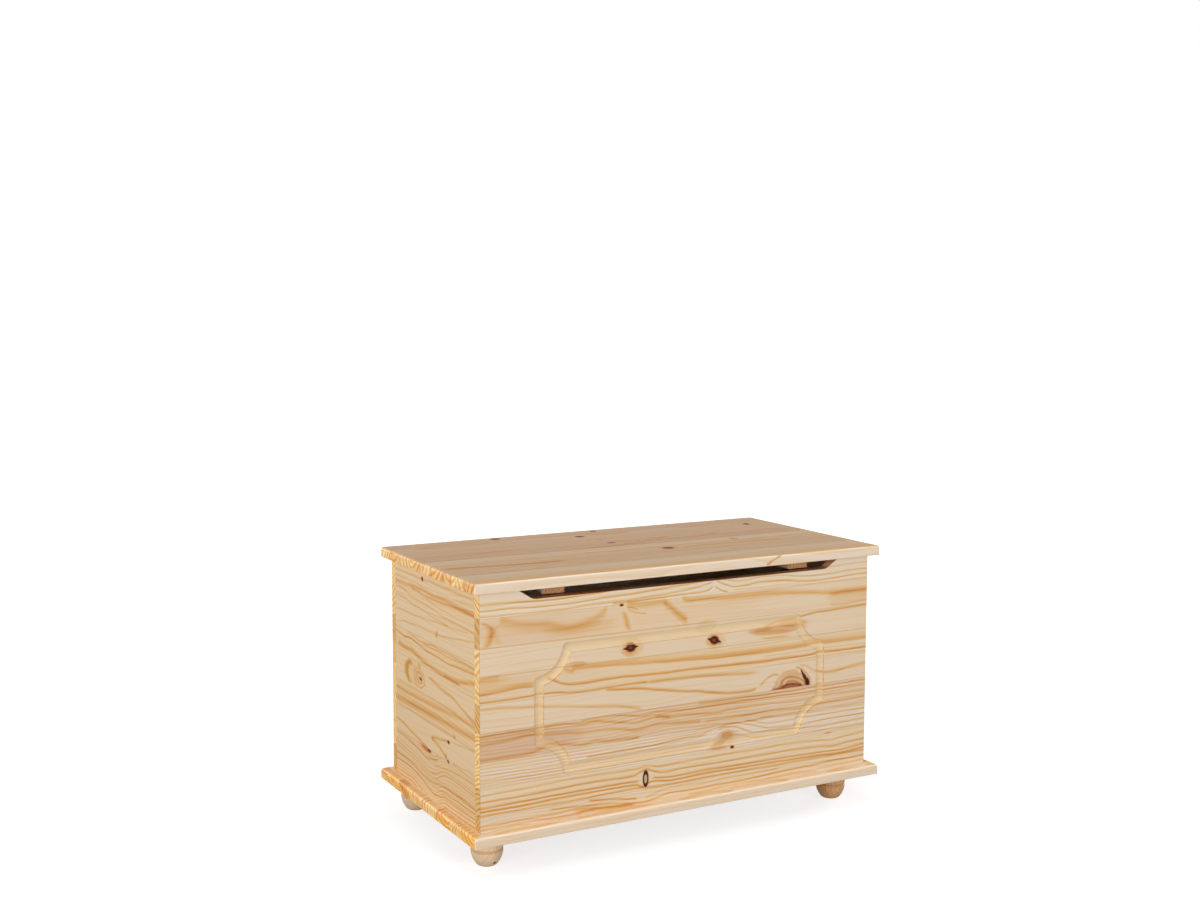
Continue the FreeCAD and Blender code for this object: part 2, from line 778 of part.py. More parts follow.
def make_lid_board():
    body = make_board("lid_board", lid_half_width, lid_half_depth, panel_top, lid_top)
    leaf_front = hinge_axis_y - size("hinge_leaf_width") - size("mortise_clearance")
    barrel_back = hinge_axis_y + size("barrel_radius") + size("mortise_clearance")
    leaf_face = panel_top + size("barrel_radius") - size("hinge_leaf_thickness")
    barrel_front = hinge_axis_y - size("barrel_radius") - size("mortise_clearance")
    barrel_half = hinge_start + size("pin_head_length") + size("mortise_clearance")
    for x in hinge_xs.values():
        cut_mortise(body, x, panel_top + size("barrel_radius"), leaf_front, barrel_back)
        room = extrude(body, "XY", panel_top, panel_top + size("barrel_radius"), cut=True)
        draw_box(room, x - barrel_half, x + barrel_half, barrel_front, barrel_back)
    pilot_top = leaf_face + size("small_screw_length") + size("screw_clearance")
    draw_circles(extrude(body, "XY", leaf_face, pilot_top, cut=True), hinge_screw_places, small_screw_hole)
    batten_pilots = extrude(body, "XY", panel_top, batten_bottom + size("batten_screw_length")
                            + size("screw_clearance"), cut=True)
    draw_circles(batten_pilots, [(side * batten_middle, y) for side in SIDES.values() for y in batten_screw_ys],
                 screw_hole)
    bracket_face = panel_top - size("plate_thickness")
    bracket_pilots = extrude(body, "XY", panel_top, bracket_face + size("small_screw_length")
                             + size("screw_clearance"), cut=True)
    screw_x = inner_half_width - bracket_screw_depth
    draw_circles(bracket_pilots, [(side * screw_x, y) for side in SIDES.values()
                                  for y in bracket_screw_ys], small_screw_hole)
    nodes.append(body)


def make_batten(name, side):
    body = new_body(f"lid_batten_{name}")
    middle = side * batten_middle
    half = size("batten_width") / 2
    draw_box(extrude(body, "XY", panel_top, batten_bottom), middle - half, middle + half, batten_front, batten_back)
    dress(body, "Fillet", lambda edge: lies_level(edge, batten_bottom) and same(edge.BoundBox.XLength, 0),
          size("batten_rounding"))
    holes = extrude(body, "XY", batten_bottom - overrun, panel_top + overrun, cut=True)
    draw_circles(holes, [(middle, y) for y in batten_screw_ys], screw_hole)
    dress(body, "Chamfer", lambda edge: is_circle(edge, screw_hole) and lies_level(edge, batten_bottom), sink)
    nodes.append(body)


# Butt hinges

def make_hinge_leaf(name, x, up, first_knuckle):
    """A leaf with its knuckles; up is 1 for the lid's leaf and -1 for the case's leaf."""
    body = new_body(name)
    barrel = size("barrel_radius")
    outer_face = up * barrel
    inner_face = up * (barrel - size("hinge_leaf_thickness"))
    leaf_end = -barrel - size("knuckle_clearance")
    plate = extrude(body, "XY", outer_face, inner_face)
    draw_box(plate, -hinge_start, hinge_start, -size("hinge_leaf_width"), leaf_end)
    pitch = size("hinge_length") / KNUCKLES
    for number in range(first_knuckle, KNUCKLES, 2):
        start = number * pitch - hinge_start
        end = start + pitch
        if number > 0:
            start = start + size("knuckle_clearance") / 2
        if number < KNUCKLES - 1:
            end = end - size("knuckle_clearance") / 2
        draw_circles(extrude(body, "YZ", start, end), [(0, 0)], barrel)
        low, high = (inner_face, outer_face) if up > 0 else (outer_face, inner_face)
        draw_box(extrude(body, "YZ", start, end), leaf_end - overrun, 0, low, high)
    bore = size("pin_radius") + size("pin_clearance" if first_knuckle == 0 else "running_pin_clearance")
    draw_circles(extrude(body, "YZ", -hinge_start - overrun, hinge_start + overrun, cut=True), [(0, 0)], bore)
    holes = extrude(body, "XY", outer_face + up * overrun, inner_face - up * overrun, cut=True)
    draw_circles(holes, [(offset, -size("hinge_screw_setback")) for offset in hinge_screw_offsets], small_screw_hole)
    dress(body, "Chamfer", lambda edge: is_circle(edge, small_screw_hole) and lies_level(edge, inner_face),
          small_sink)
    place(body, (x, hinge_axis_y, panel_top))
    nodes.append(body)


def make_hinge_pin(name, x):
    """The pin runs along its own Z axis and is laid along X; a flat head closes each end."""
    body = new_body(name)
    radius = size("pin_radius")
    head = size("pin_head_radius")
    end = hinge_start + size("pin_clearance")
    tip = end + size("pin_head_length")
    turn(body, [(0, -tip), (head, -tip), (head, -end), (radius, -end), (radius, end), (head, end), (head, tip), (0, tip)])
    place(body, (x, hinge_axis_y, panel_top), TO_RIGHT)
    nodes.append(body)


# Lid stays

def make_side_plate(name, side):
    body = new_body(f"stay_{name}_side_plate")
    half = size("side_plate_width") / 2
    long_half = size("side_plate_length") / 2
    outline = extrude(body, "YZ", side * inner_half_width, side * (inner_half_width - plate_face))
    draw_box(outline, stud_y - half, stud_y + half, stud_z - long_half, stud_z + long_half)
    dress(body, "Fillet", lambda edge: same(edge.BoundBox.YLength, 0) and same(edge.BoundBox.ZLength, 0),
          size("side_plate_rounding"))
    way = (side * (inner_half_width + overrun), side * (inner_half_width - plate_face - overrun))
    draw_circles(extrude(body, "YZ", way[0], way[1], cut=True), [(stud_y, stud_z)],
                 size("stud_radius") + size("pin_clearance"))
    draw_circles(extrude(body, "YZ", way[0], way[1], cut=True), [(stud_y, height) for height in plate_screw_zs],
                 small_screw_hole)
    inner_face = side * (inner_half_width - plate_face)
    dress(body, "Chamfer", lambda edge: is_circle(edge, small_screw_hole)
          and same(edge.BoundBox.XMin, inner_face), small_sink)
    nodes.append(body)


def make_stud(name, side):
    """The stud is turned about its own Z axis, which points from the panel to the middle of the chest."""
    body = new_body(f"stay_{name}_stud")
    radius = size("stud_radius")
    collar = size("stud_collar_radius")
    collar_top = arm_outer - size("plate_clearance")
    knob_base = arm_inner + size("plate_clearance") + size("washer_thickness")
    tip = knob_base + size("knob_thickness") - size("knob_wall") - size("plate_clearance")
    turn(body, [
        (0, 0), (radius, 0), (radius, plate_face), (collar, plate_face), (collar, collar_top),
        (radius, collar_top), (radius, tip), (0, tip),
    ])
    place(body, (side * inner_half_width, stud_y, stud_z), SIDEWAYS[-side])
    nodes.append(body)


def make_washer(name, side):
    body = new_body(f"stay_{name}_washer")
    start = arm_inner + size("plate_clearance")
    ring = extrude(body, "XY", start, start + size("washer_thickness"))
    draw_circles(ring, [(0, 0)], size("washer_radius"))
    draw_circles(ring, [(0, 0)], size("stud_radius") + size("screw_clearance"))
    place(body, (side * inner_half_width, stud_y, stud_z), SIDEWAYS[-side])
    nodes.append(body)


def make_knob(name, side):
    """A round knob with flutes, screwed onto the stud."""
    body = new_body(f"stay_{name}_knob")
    start = arm_inner + size("plate_clearance") + size("washer_thickness")
    end = start + size("knob_thickness")
    draw_circles(extrude(body, "XY", start, end), [(0, 0)], size("knob_radius"))
    flute = extrude(body, "XY", start - overrun, end + overrun, cut=True)
    draw_circles(flute, [(size("knob_radius") + size("knob_flute_radius") / 2, 0)], size("knob_flute_radius"))
    first = body.Tip
    ring = body.newObject("PartDesign::PolarPattern", f"{body.Name}_flutes")
    ring.Originals = [first]
    ring.Axis = (flute, ["N_Axis"])
    ring.Angle = 360
    ring.Occurrences = KNOB_FLUTES
    body.Tip = ring
    bore = extrude(body, "XY", start, end - size("knob_wall"), cut=True)
    draw_circles(bore, [(0, 0)], size("stud_radius") + size("screw_clearance"))
    place(body, (side * inner_half_width, stud_y, stud_z), SIDEWAYS[-side])
    nodes.append(body)


def make_arm(name, side):
    """The slotted arm, drawn along its own Y axis from the lid pivot and tilted to the stud."""
    body = new_body(f"stay_{name}_arm")
    slot_half = size("stud_radius") + size("slot_clearance")
    slot_start = closed_reach - size("stay_slot_end_margin")
    slot_end = open_reach + size("stay_slot_end_margin")
    tip = slot_end + slot_half + arm_half - slot_half / 2
    outer = -side * arm_outer
    inner = -side * arm_inner
    outline = extrude(body, "YZ", outer, inner)
    draw_path(outline, [
        (0, -arm_half, arm_half, -1), (tip, -arm_half), (tip + arm_half, 0, arm_half, -1),
        (tip, arm_half, arm_half, -1), (0, arm_half), (-arm_half, 0, arm_half, -1),
    ])
    slot = extrude(body, "YZ", outer + side * overrun, inner - side * overrun, cut=True)
    draw_path(slot, [
        (slot_start, -slot_half, slot_half, -1), (slot_end, -slot_half),
        (slot_end + slot_half, 0, slot_half, -1), (slot_end, slot_half, slot_half, -1),
        (slot_start, slot_half), (slot_start - slot_half, 0, slot_half, -1),
    ])
    hole = extrude(body, "YZ", outer + side * overrun, inner - side * overrun, cut=True)
    draw_circles(hole, [(0, 0)], size("rivet_radius") + size("running_pin_clearance"))
    place(body, (side * inner_half_width, pivot_y, pivot_z), Rotation(Vector(-1, 0, 0), arm_tilt.value))
    bind(body, "Placement.Rotation.Angle", arm_tilt)
    nodes.append(body)


def make_bracket(name, side):
    """An angle bracket under the lid: a flat with two screws and a tab that carries the rivet."""
    body = new_body(f"stay_{name}_lid_bracket")
    half = size("bracket_length") / 2
    tab_outer = side * (inner_half_width - bracket_tab_outer)
    tab_inner = side * (inner_half_width - bracket_tab_inner)
    flat_inner = side * (inner_half_width - bracket_inner)
    flat_bottom = panel_top - size("plate_thickness")
    tab = extrude(body, "YZ", tab_outer, tab_inner)
    draw_path(tab, [
        (pivot_y - half, flat_bottom), (pivot_y - arm_half, pivot_z),
        (pivot_y, pivot_z - arm_half, arm_half, -1), (pivot_y + arm_half, pivot_z, arm_half, -1),
        (pivot_y + half, flat_bottom), (pivot_y + half, panel_top), (pivot_y - half, panel_top),
    ])
    plate = extrude(body, "XY", panel_top, flat_bottom)
    left, right = sorted((tab_outer, flat_inner), key=lambda item: item.value)
    draw_box(plate, left, right, pivot_y - half, pivot_y + half)
    hole = extrude(body, "YZ", tab_outer + side * overrun, tab_inner - side * overrun, cut=True)
    draw_circles(hole, [(pivot_y, pivot_z)], size("rivet_radius") + size("pin_clearance"))
    screw_x = side * (inner_half_width - bracket_screw_depth)
    holes = extrude(body, "XY", panel_top + overrun, flat_bottom - overrun, cut=True)
    draw_circles(holes, [(screw_x, y) for y in bracket_screw_ys], small_screw_hole)
    dress(body, "Chamfer", lambda edge: is_circle(edge, small_screw_hole) and lies_level(edge, flat_bottom),
          small_sink)
    nodes.append(body)


def make_rivet(name, side):
    """The rivet holds the arm on the bracket's tab; its own Z axis points to the middle of the chest."""
    body = new_body(f"stay_{name}_rivet")
    radius = size("rivet_radius")
    head = size("rivet_head_radius")
    thickness = size("rivet_head_thickness")
    outer = arm_outer - size("plate_clearance")
    turn(body, [
        (0, outer - thickness), (head, outer - thickness), (head, outer), (radius, outer),
        (radius, bracket_tab_inner), (head, bracket_tab_inner),
        (head, bracket_tab_inner + thickness), (0, bracket_tab_inner + thickness),
    ])
    place(body, (side * inner_half_width, pivot_y, pivot_z), SIDEWAYS[-side])
    nodes.append(body)


def make_corner_fittings():
    """Dowels, cam bolts and cam discs in the four corners, one node for each kind."""
    dowel = make_dowel()
    cam_bolt = make_cam_bolt()
    cam_disc = make_cam_disc()
    dowels = []
    bolts = []
    discs = []
    for side in SIDES.values():
        for end, inward in ((-1, TO_BACK), (1, TO_FRONT)):
            face = end * inner_half_depth
            for height in dowel_heights:
                dowels.append(((side * side_middle, face + end * size("dowel_bite"), height), inward))
            for height in cam_heights:
                bolts.append(((side * side_middle, face, height), inward))
                cam_y = end * (inner_half_depth - size("cam_setback"))
                discs.append(((side * inner_half_width, cam_y, height), cam_turn(side, end)))
    nodes.append(group("corner_dowels", dowel, dowels))
    nodes.append(group("cam_bolts", cam_bolt, bolts))
    nodes.append(group("cam_discs", cam_disc, discs))


def cam_turn(side, end):
    """Turns a cam disc so that its face looks into the chest and its mouth at the panel at that end."""
    out = Vector(side, 0, 0)
    mouth = Vector(0, end, 0)
    across = out.cross(-mouth)
    return Rotation(-mouth, across, out, "ZXY")


def make_screws(base_screws):
    """The screws, in one node for each job."""
    long_screw = make_screw("base_screw", size("screw_radius"), size("screw_head_radius"), size("base_screw_length"))
    batten_screw = make_screw("batten_screw", size("screw_radius"), size("screw_head_radius"),
                              size("batten_screw_length"))
    small_screw = make_screw("small_screw", size("small_screw_radius"), size("small_screw_head_radius"),
                             size("small_screw_length"))
    nodes.append(group("base_screws", long_screw, [((x, y, base_bottom), UP) for x, y in base_screws]))
    batten_places = [(side * batten_middle, y, batten_bottom) for side in SIDES.values() for y in batten_screw_ys]
    nodes.append(group("batten_screws", batten_screw, [(where, UP) for where in batten_places]))
    leaf_gap = size("barrel_radius") - size("hinge_leaf_thickness")
    case_places = [((x, y, panel_top - leaf_gap), DOWN) for x, y in hinge_screw_places]
    lid_places = [((x, y, panel_top + leaf_gap), UP) for x, y in hinge_screw_places]
    nodes.append(group("hinge_case_screws", small_screw, case_places))
    nodes.append(group("hinge_lid_screws", small_screw, lid_places))
    bracket_x = inner_half_width - bracket_screw_depth
    bracket_places = [((side * bracket_x, y, panel_top - size("plate_thickness")), UP)
                      for side in SIDES.values() for y in bracket_screw_ys]
    nodes.append(group("stay_bracket_screws", small_screw, bracket_places))
    plate_places = [((side * (inner_half_width - plate_face), stud_y, height), SIDEWAYS[side])
                    for side in SIDES.values() for height in plate_screw_zs]
    nodes.append(group("stay_plate_screws", small_screw, plate_places))


def make_foot_fasteners():
    bolt = make_foot_bolt()
    nut = make_insert_nut()
    places = [((x, y, base_bottom), UP) for x, y in foot_places]
    nodes.append(group("foot_bolts", bolt, places))
    nodes.append(group("foot_insert_nuts", nut, places))


make_front_panel()
make_back_panel()
base_screw_places = make_base_board()
make_lid_board()
for side_name, side_sign in SIDES.items():
    make_side_panel(side_name, side_sign)
    make_batten(side_name, side_sign)
    for end_name, end_y in foot_ys.items():
        make_foot(f"foot_{end_name}_{side_name}", (side_sign * foot_x, end_y))
    make_hinge_leaf(f"hinge_{side_name}_case_leaf", hinge_xs[side_name], -1, 0)
    make_hinge_leaf(f"hinge_{side_name}_lid_leaf", hinge_xs[side_name], 1, 1)
    make_hinge_pin(f"hinge_{side_name}_pin", hinge_xs[side_name])
    make_side_plate(side_name, side_sign)
    make_stud(side_name, side_sign)
    make_washer(side_name, side_sign)
    make_knob(side_name, side_sign)
    make_arm(side_name, side_sign)
    make_bracket(side_name, side_sign)
    make_rivet(side_name, side_sign)
make_corner_fittings()
make_screws(base_screw_places)
make_foot_fasteners()
doc.recompute()

# Checks before anything is written: no failed feature, every cut removes material, sound shapes
for item in doc.Objects:
    if "Invalid" in item.State or "Error" in item.State:
        raise RuntimeError(f"{item.Name} failed")
for item in doc.Objects:
    if item.TypeId in ("PartDesign::Pocket", "PartDesign::Groove", "PartDesign::SubtractivePipe"):
        if not item.Shape.Volume < item.BaseFeature.Shape.Volume:
            raise RuntimeError(f"{item.Name} cuts nothing")
os.makedirs("parts", exist_ok=True)
for node in nodes:
    if node.Shape.isNull() or not node.Shape.isValid():
        raise RuntimeError(f"{node.Label} has no sound shape")
    node.Shape.exportStep(f"parts/{node.Label}.step")
print(f"{len(nodes)} nodes, lid opens {SIZES['lid_open_angle']} degrees")
print(f"hinge axis y {hinge_axis_y.value:.3f} z {panel_top.value:.3f}")
print(f"stay pivot y {pivot_y.value:.3f} z {pivot_z.value:.3f}, stud y {stud_y.value:.3f} z {stud_z.value:.3f}")
print(f"stay reach {closed_reach.value:.2f} to {open_reach.value:.2f}, arm tilt {arm_tilt.value:.2f}")
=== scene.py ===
import math
import random

import bpy
from mathutils import Matrix, Vector

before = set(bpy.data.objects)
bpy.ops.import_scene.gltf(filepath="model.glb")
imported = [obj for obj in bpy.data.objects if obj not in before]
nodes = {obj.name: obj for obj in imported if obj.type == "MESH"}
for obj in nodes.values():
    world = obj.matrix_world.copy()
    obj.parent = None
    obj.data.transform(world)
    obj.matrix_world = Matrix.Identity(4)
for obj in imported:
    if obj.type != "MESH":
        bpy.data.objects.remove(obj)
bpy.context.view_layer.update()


# Lengths in the materials are millimetres. A piece's extent along an axis comes from the frame.

MM = 1000.0


def extent(name, axis):
    places = [round(corner[axis] * MM, 3) for corner in nodes[name].bound_box]
    return min(places), max(places)


# Colours are written as they look on screen, from 0 to 255.

def colour(red, green, blue):
    def linear(value):
        share = value / 255
        return share / 12.92 if share <= 0.04045 else ((share + 0.055) / 1.055) ** 2.4
    return (linear(red), linear(green), linear(blue), 1.0)


# Node sums: a Wire is an output socket, and a Graph makes the nodes of one material.

class Wire:
    def __init__(self, graph, socket):
        self.graph = graph
        self.socket = socket

    def __add__(self, other):
        return self.graph.math("ADD", self, other)

    def __sub__(self, other):
        return self.graph.math("SUBTRACT", self, other)

    def __mul__(self, other):
        return self.graph.math("MULTIPLY", self, other)

    def __truediv__(self, other):
        return self.graph.math("DIVIDE", self, other)

    def __rsub__(self, other):
        return self.graph.math("SUBTRACT", other, self)

    __radd__ = __add__
    __rmul__ = __mul__


class Graph:
    def __init__(self, name):
        self.material = bpy.data.materials.new(name)
        self.material.use_nodes = True
        self.tree = self.material.node_tree
        self.shader = self.tree.nodes["Principled BSDF"]
        self.grain = 0.0

    def node(self, kind, inputs, output=0, **settings):
        made = self.tree.nodes.new("ShaderNode" + kind)
        for name, value in settings.items():
            setattr(made, name, value)
        for key, value in inputs.items():
            if isinstance(value, Wire):
                self.tree.links.new(value.socket, made.inputs[key])
            else:
                made.inputs[key].default_value = value
        return Wire(self, made.outputs[output])

    def math(self, operation, first, second=0.0, clamp=False):
        return self.node("Math", {0: first, 1: second}, operation=operation, use_clamp=clamp)

    def vector(self, operation, first, second=(0.0, 0.0, 0.0)):
        output = 1 if operation in ("DOT_PRODUCT", "LENGTH") else 0
        return self.node("VectorMath", {0: first, 1: second}, output, operation=operation)

    def join(self, x, y, z=0.0):
        return self.node("CombineXYZ", {0: x, 1: y, 2: z})

    def part(self, vector, index):
        return self.node("SeparateXYZ", {0: vector}, index)

    def place(self):
        return self.vector("MULTIPLY", self.node("TexCoord", {}, "Object"), (MM, MM, MM))

    def facing(self, axis):
        return self.part(self.node("TexCoord", {}, "Normal"), axis)

    def smooth(self, value, low, high, start=0.0, end=1.0):
        inputs = {0: value, 1: low, 2: high, 3: start, 4: end}
        return self.node("MapRange", inputs, interpolation_type="SMOOTHSTEP")

    def noise(self, place, detail=2.0, rough=0.5):
        inputs = {"Vector": place, "Scale": 1.0, "Detail": detail, "Roughness": rough}
        return self.node("TexNoise", inputs)

    # Noise whose lumps have their own size along each of three directions.
    def lumps(self, values, sizes, detail=2.0, rough=0.5):
        scaled = [value * (1 / size) for value, size in zip(values, sizes)]
        return self.noise(self.join(*scaled), detail, rough)

    def ramp(self, value, stops, interpolation="LINEAR"):
        made = self.tree.nodes.new("ShaderNodeValToRGB")
        band = made.color_ramp
        band.interpolation = interpolation
        for place, tint in stops[1:-1]:
            band.elements.new(place).color = tint
        for index, (place, tint) in ((0, stops[0]), (len(band.elements) - 1, stops[-1])):
            band.elements[index].position = place
            band.elements[index].color = tint
        self.tree.links.new(value.socket, made.inputs[0])
        return Wire(self, made.outputs[0])

    def mix(self, share, first, second, blend="MIX"):
        return self.node("Mix", {0: share, 6: first, 7: second}, 2, data_type="RGBA", blend_type=blend)

    def curves(self, vector, three):
        made = self.tree.nodes.new("ShaderNodeVectorCurve")
        made.mapping.extend = "HORIZONTAL"
        for curve, points in zip(made.mapping.curves, three):
            curve.points[0].location = points[0]
            curve.points[1].location = points[-1]
            for place in points[1:-1]:
                curve.points.new(*place)
            for point in curve.points:
                point.handle_type = "AUTO_CLAMPED"
        made.mapping.update()
        self.tree.links.new(vector.socket, made.inputs[1])
        return Wire(self, made.outputs[0])

    def least(self, values):
        found = values[0]
        for value in values[1:]:
            found = self.math("MINIMUM", found, value)
        return found

    def finish(self, tint, rough, height, depth=0.00006):
        bump = self.node("Bump", {"Strength": 0.6, "Distance": depth, "Height": height})
        self.tree.links.new(tint.socket, self.shader.inputs["Base Color"])
        self.tree.links.new(rough.socket, self.shader.inputs["Roughness"])
        self.tree.links.new(bump.socket, self.shader.inputs["Normal"])
        return self.material


# Growth lines, given one by one: each is (upper width, lower width, strength, fade, x, z, x, z ...), and
# three of them share one curves node. Their places take the grain along, for the reason given with the knots
# below.

LINE_SOFT = 1.6


def laid_lines(graph, along, across, reach, middle, spread, lines):
    place = graph.vector("DOT_PRODUCT", graph.join(along, graph.grain), (1 / reach, 0.0, 0.0))
    level = (across - middle) * (1 / spread)
    places = graph.join(place, place, place)
    levels = graph.join(level, level, level)
    total = None
    for start in range(0, len(lines), 3):
        trio = [lines[min(start + k, len(lines) - 1)] for k in range(3)]
        shapes, weights, above, below = [], [], [], []
        for number, line in enumerate(trio):
            upper, lower, strength, fade = line[:4]
            if start + number >= len(lines):
                strength = 0.0
            points = sorted(zip(line[4::2], line[5::2]))
            first, last = points[0][0], points[-1][0]
            shapes.append([(x / reach, (z - middle) / spread) for x, z in points])
            rise = [(-reach, 0.0), (first, 0.0), (first + fade, strength)]
            fall = [(last - fade, strength), (last, 0.0), (reach, 0.0)]
            weights.append([(x / reach, weight) for x, weight in rise + fall])
            above.append(spread / (upper * LINE_SOFT))
            below.append(-spread / (lower * LINE_SOFT))
        gap = graph.vector("SUBTRACT", levels, graph.curves(places, shapes))
        far_above = graph.vector("MULTIPLY", gap, above)
        far_below = graph.vector("MULTIPLY", gap, below)
        far = graph.vector("MAXIMUM", far_above, far_below)
        near = graph.vector("MAXIMUM", graph.vector("SUBTRACT", (1.0, 1.0, 1.0), far), (0.0, 0.0, 0.0))
        value = graph.vector("DOT_PRODUCT", near, graph.curves(places, weights))
        total = value if total is None else total + value
    return total


# A knot or an eye is (x, z, half length, half height, turn in degrees), and these are the shares of its two
# halves. The shift's third part weighs nothing. With the grain in it, the renderer works the marks out one by
# one, after the grain, and its shader stack has room for all of them.

def shares(graph, along, across, knot):
    x, z, long_half, high_half, turn = knot
    angle = math.radians(turn)
    shift = graph.join(along - x, across - z, graph.grain)
    long_way = (math.cos(angle) / long_half, math.sin(angle) / long_half, 0.0)
    high_way = (-math.sin(angle) / high_half, math.cos(angle) / high_half, 0.0)
    return graph.vector("DOT_PRODUCT", shift, long_way), graph.vector("DOT_PRODUCT", shift, high_way)


# The answer is 1 on the knot's oval rim.

def rim(graph, along, across, knot):
    first, second = shares(graph, along, across, knot)
    return graph.vector("LENGTH", graph.join(first, second))


# The same, but with a point at each end.

def lens(graph, along, across, knot):
    first, second = shares(graph, along, across, knot)
    return first * first + graph.math("ABSOLUTE", second)


# What every pine board wears.

PALE = colour(229, 209, 182)
GOLD = colour(228, 192, 141)
PINK = colour(206, 168, 140)
# The next two colours are painted light: the paler edges and the paler tops.
PAINTED_EDGE_LIGHT = colour(252, 234, 212)
PAINTED_TOP_LIGHT = colour(252, 232, 206)
EYE = colour(200, 136, 58)
PALE_END = colour(248, 216, 156)
SEAM = colour(120, 76, 40)

LATE = [
    (0.0, (1.0, 1.0, 1.0, 1.0)),
    (0.3, (0.965, 0.87, 0.70, 1.0)),
    (0.65, (0.91, 0.67, 0.37, 1.0)),
    (1.0, (0.79, 0.44, 0.14, 1.0)),
]

KNOT = [
    (0.0, colour(72, 26, 14)),
    (0.3, colour(104, 44, 20)),
    (0.46, colour(124, 56, 24)),
    (0.53, colour(186, 112, 52)),
    (0.72, colour(210, 152, 88)),
    (1.0, colour(220, 178, 124)),
]

# Laid lines span this much to each side of the middle, and upright ones this much in width.
LINE_REACH = 410
POST_REACH = 400

# Laid marks fade out between these depths behind the face.
MARK_FULL = 22
MARK_END = 30

# A ramp holds values from 0 to 1, so the boards' sizes are scaled to go in. It is sampled at 256 places.
PITH_LOW = -200
PITH_SPAN = 1000
DEEP_SPAN = 200
RING_SPAN = 20
RAMP_STEPS = 255


# One value in each of three channels, board by board.

def by_board(graph, share, span, edges, rows):
    low, high = span
    step = (high - low) / RAMP_STEPS
    places = [max(0.0, (round((edge - low) / step) - 0.3) / RAMP_STEPS) for edge in edges]
    stops = [(place, (*row, 1.0)) for place, row in zip(places, rows)]
    table = graph.ramp(share, stops, "CONSTANT")
    return [graph.part(table, channel) for channel in range(3)]


# The grain bends round the knots. Where a flow is given, (x, rise) points lift it below the flow's zone.

FLOW_REACH = 400
FLOW_RISE = 40


def bent_grain(graph, along, across, knots, flow):
    bent = across
    for x, z, long_half, high_half, turn in knots:
        halo = rim(graph, along, across, (x, z, long_half * 3.2, high_half * 2.4, turn))
        near = graph.math("POWER", 0.37, graph.math("POWER", halo, 2.0))
        bent = bent - near * (across - z) * 0.62
    if flow is not None:
        points, zone_low, zone_high = flow
        ask = along * (1 / FLOW_REACH)
        shape = [(x / FLOW_REACH, rise / FLOW_RISE) for x, rise in points]
        bend = graph.part(graph.curves(graph.join(ask, ask, ask), [shape] * 3), 0)
        bent = bent - bend * FLOW_RISE * graph.smooth(across, zone_high, zone_low)
    return bent


# Pine. The wood is solid: rings round a pith that differs from board to board, so faces, edges and end grain
# agree. axes are the places of along, across and depth in x, y, z; face is where depth is zero.
# A board is (lower edge, pith height, pith depth, ring spacing, ring strength, tone, pinkness).

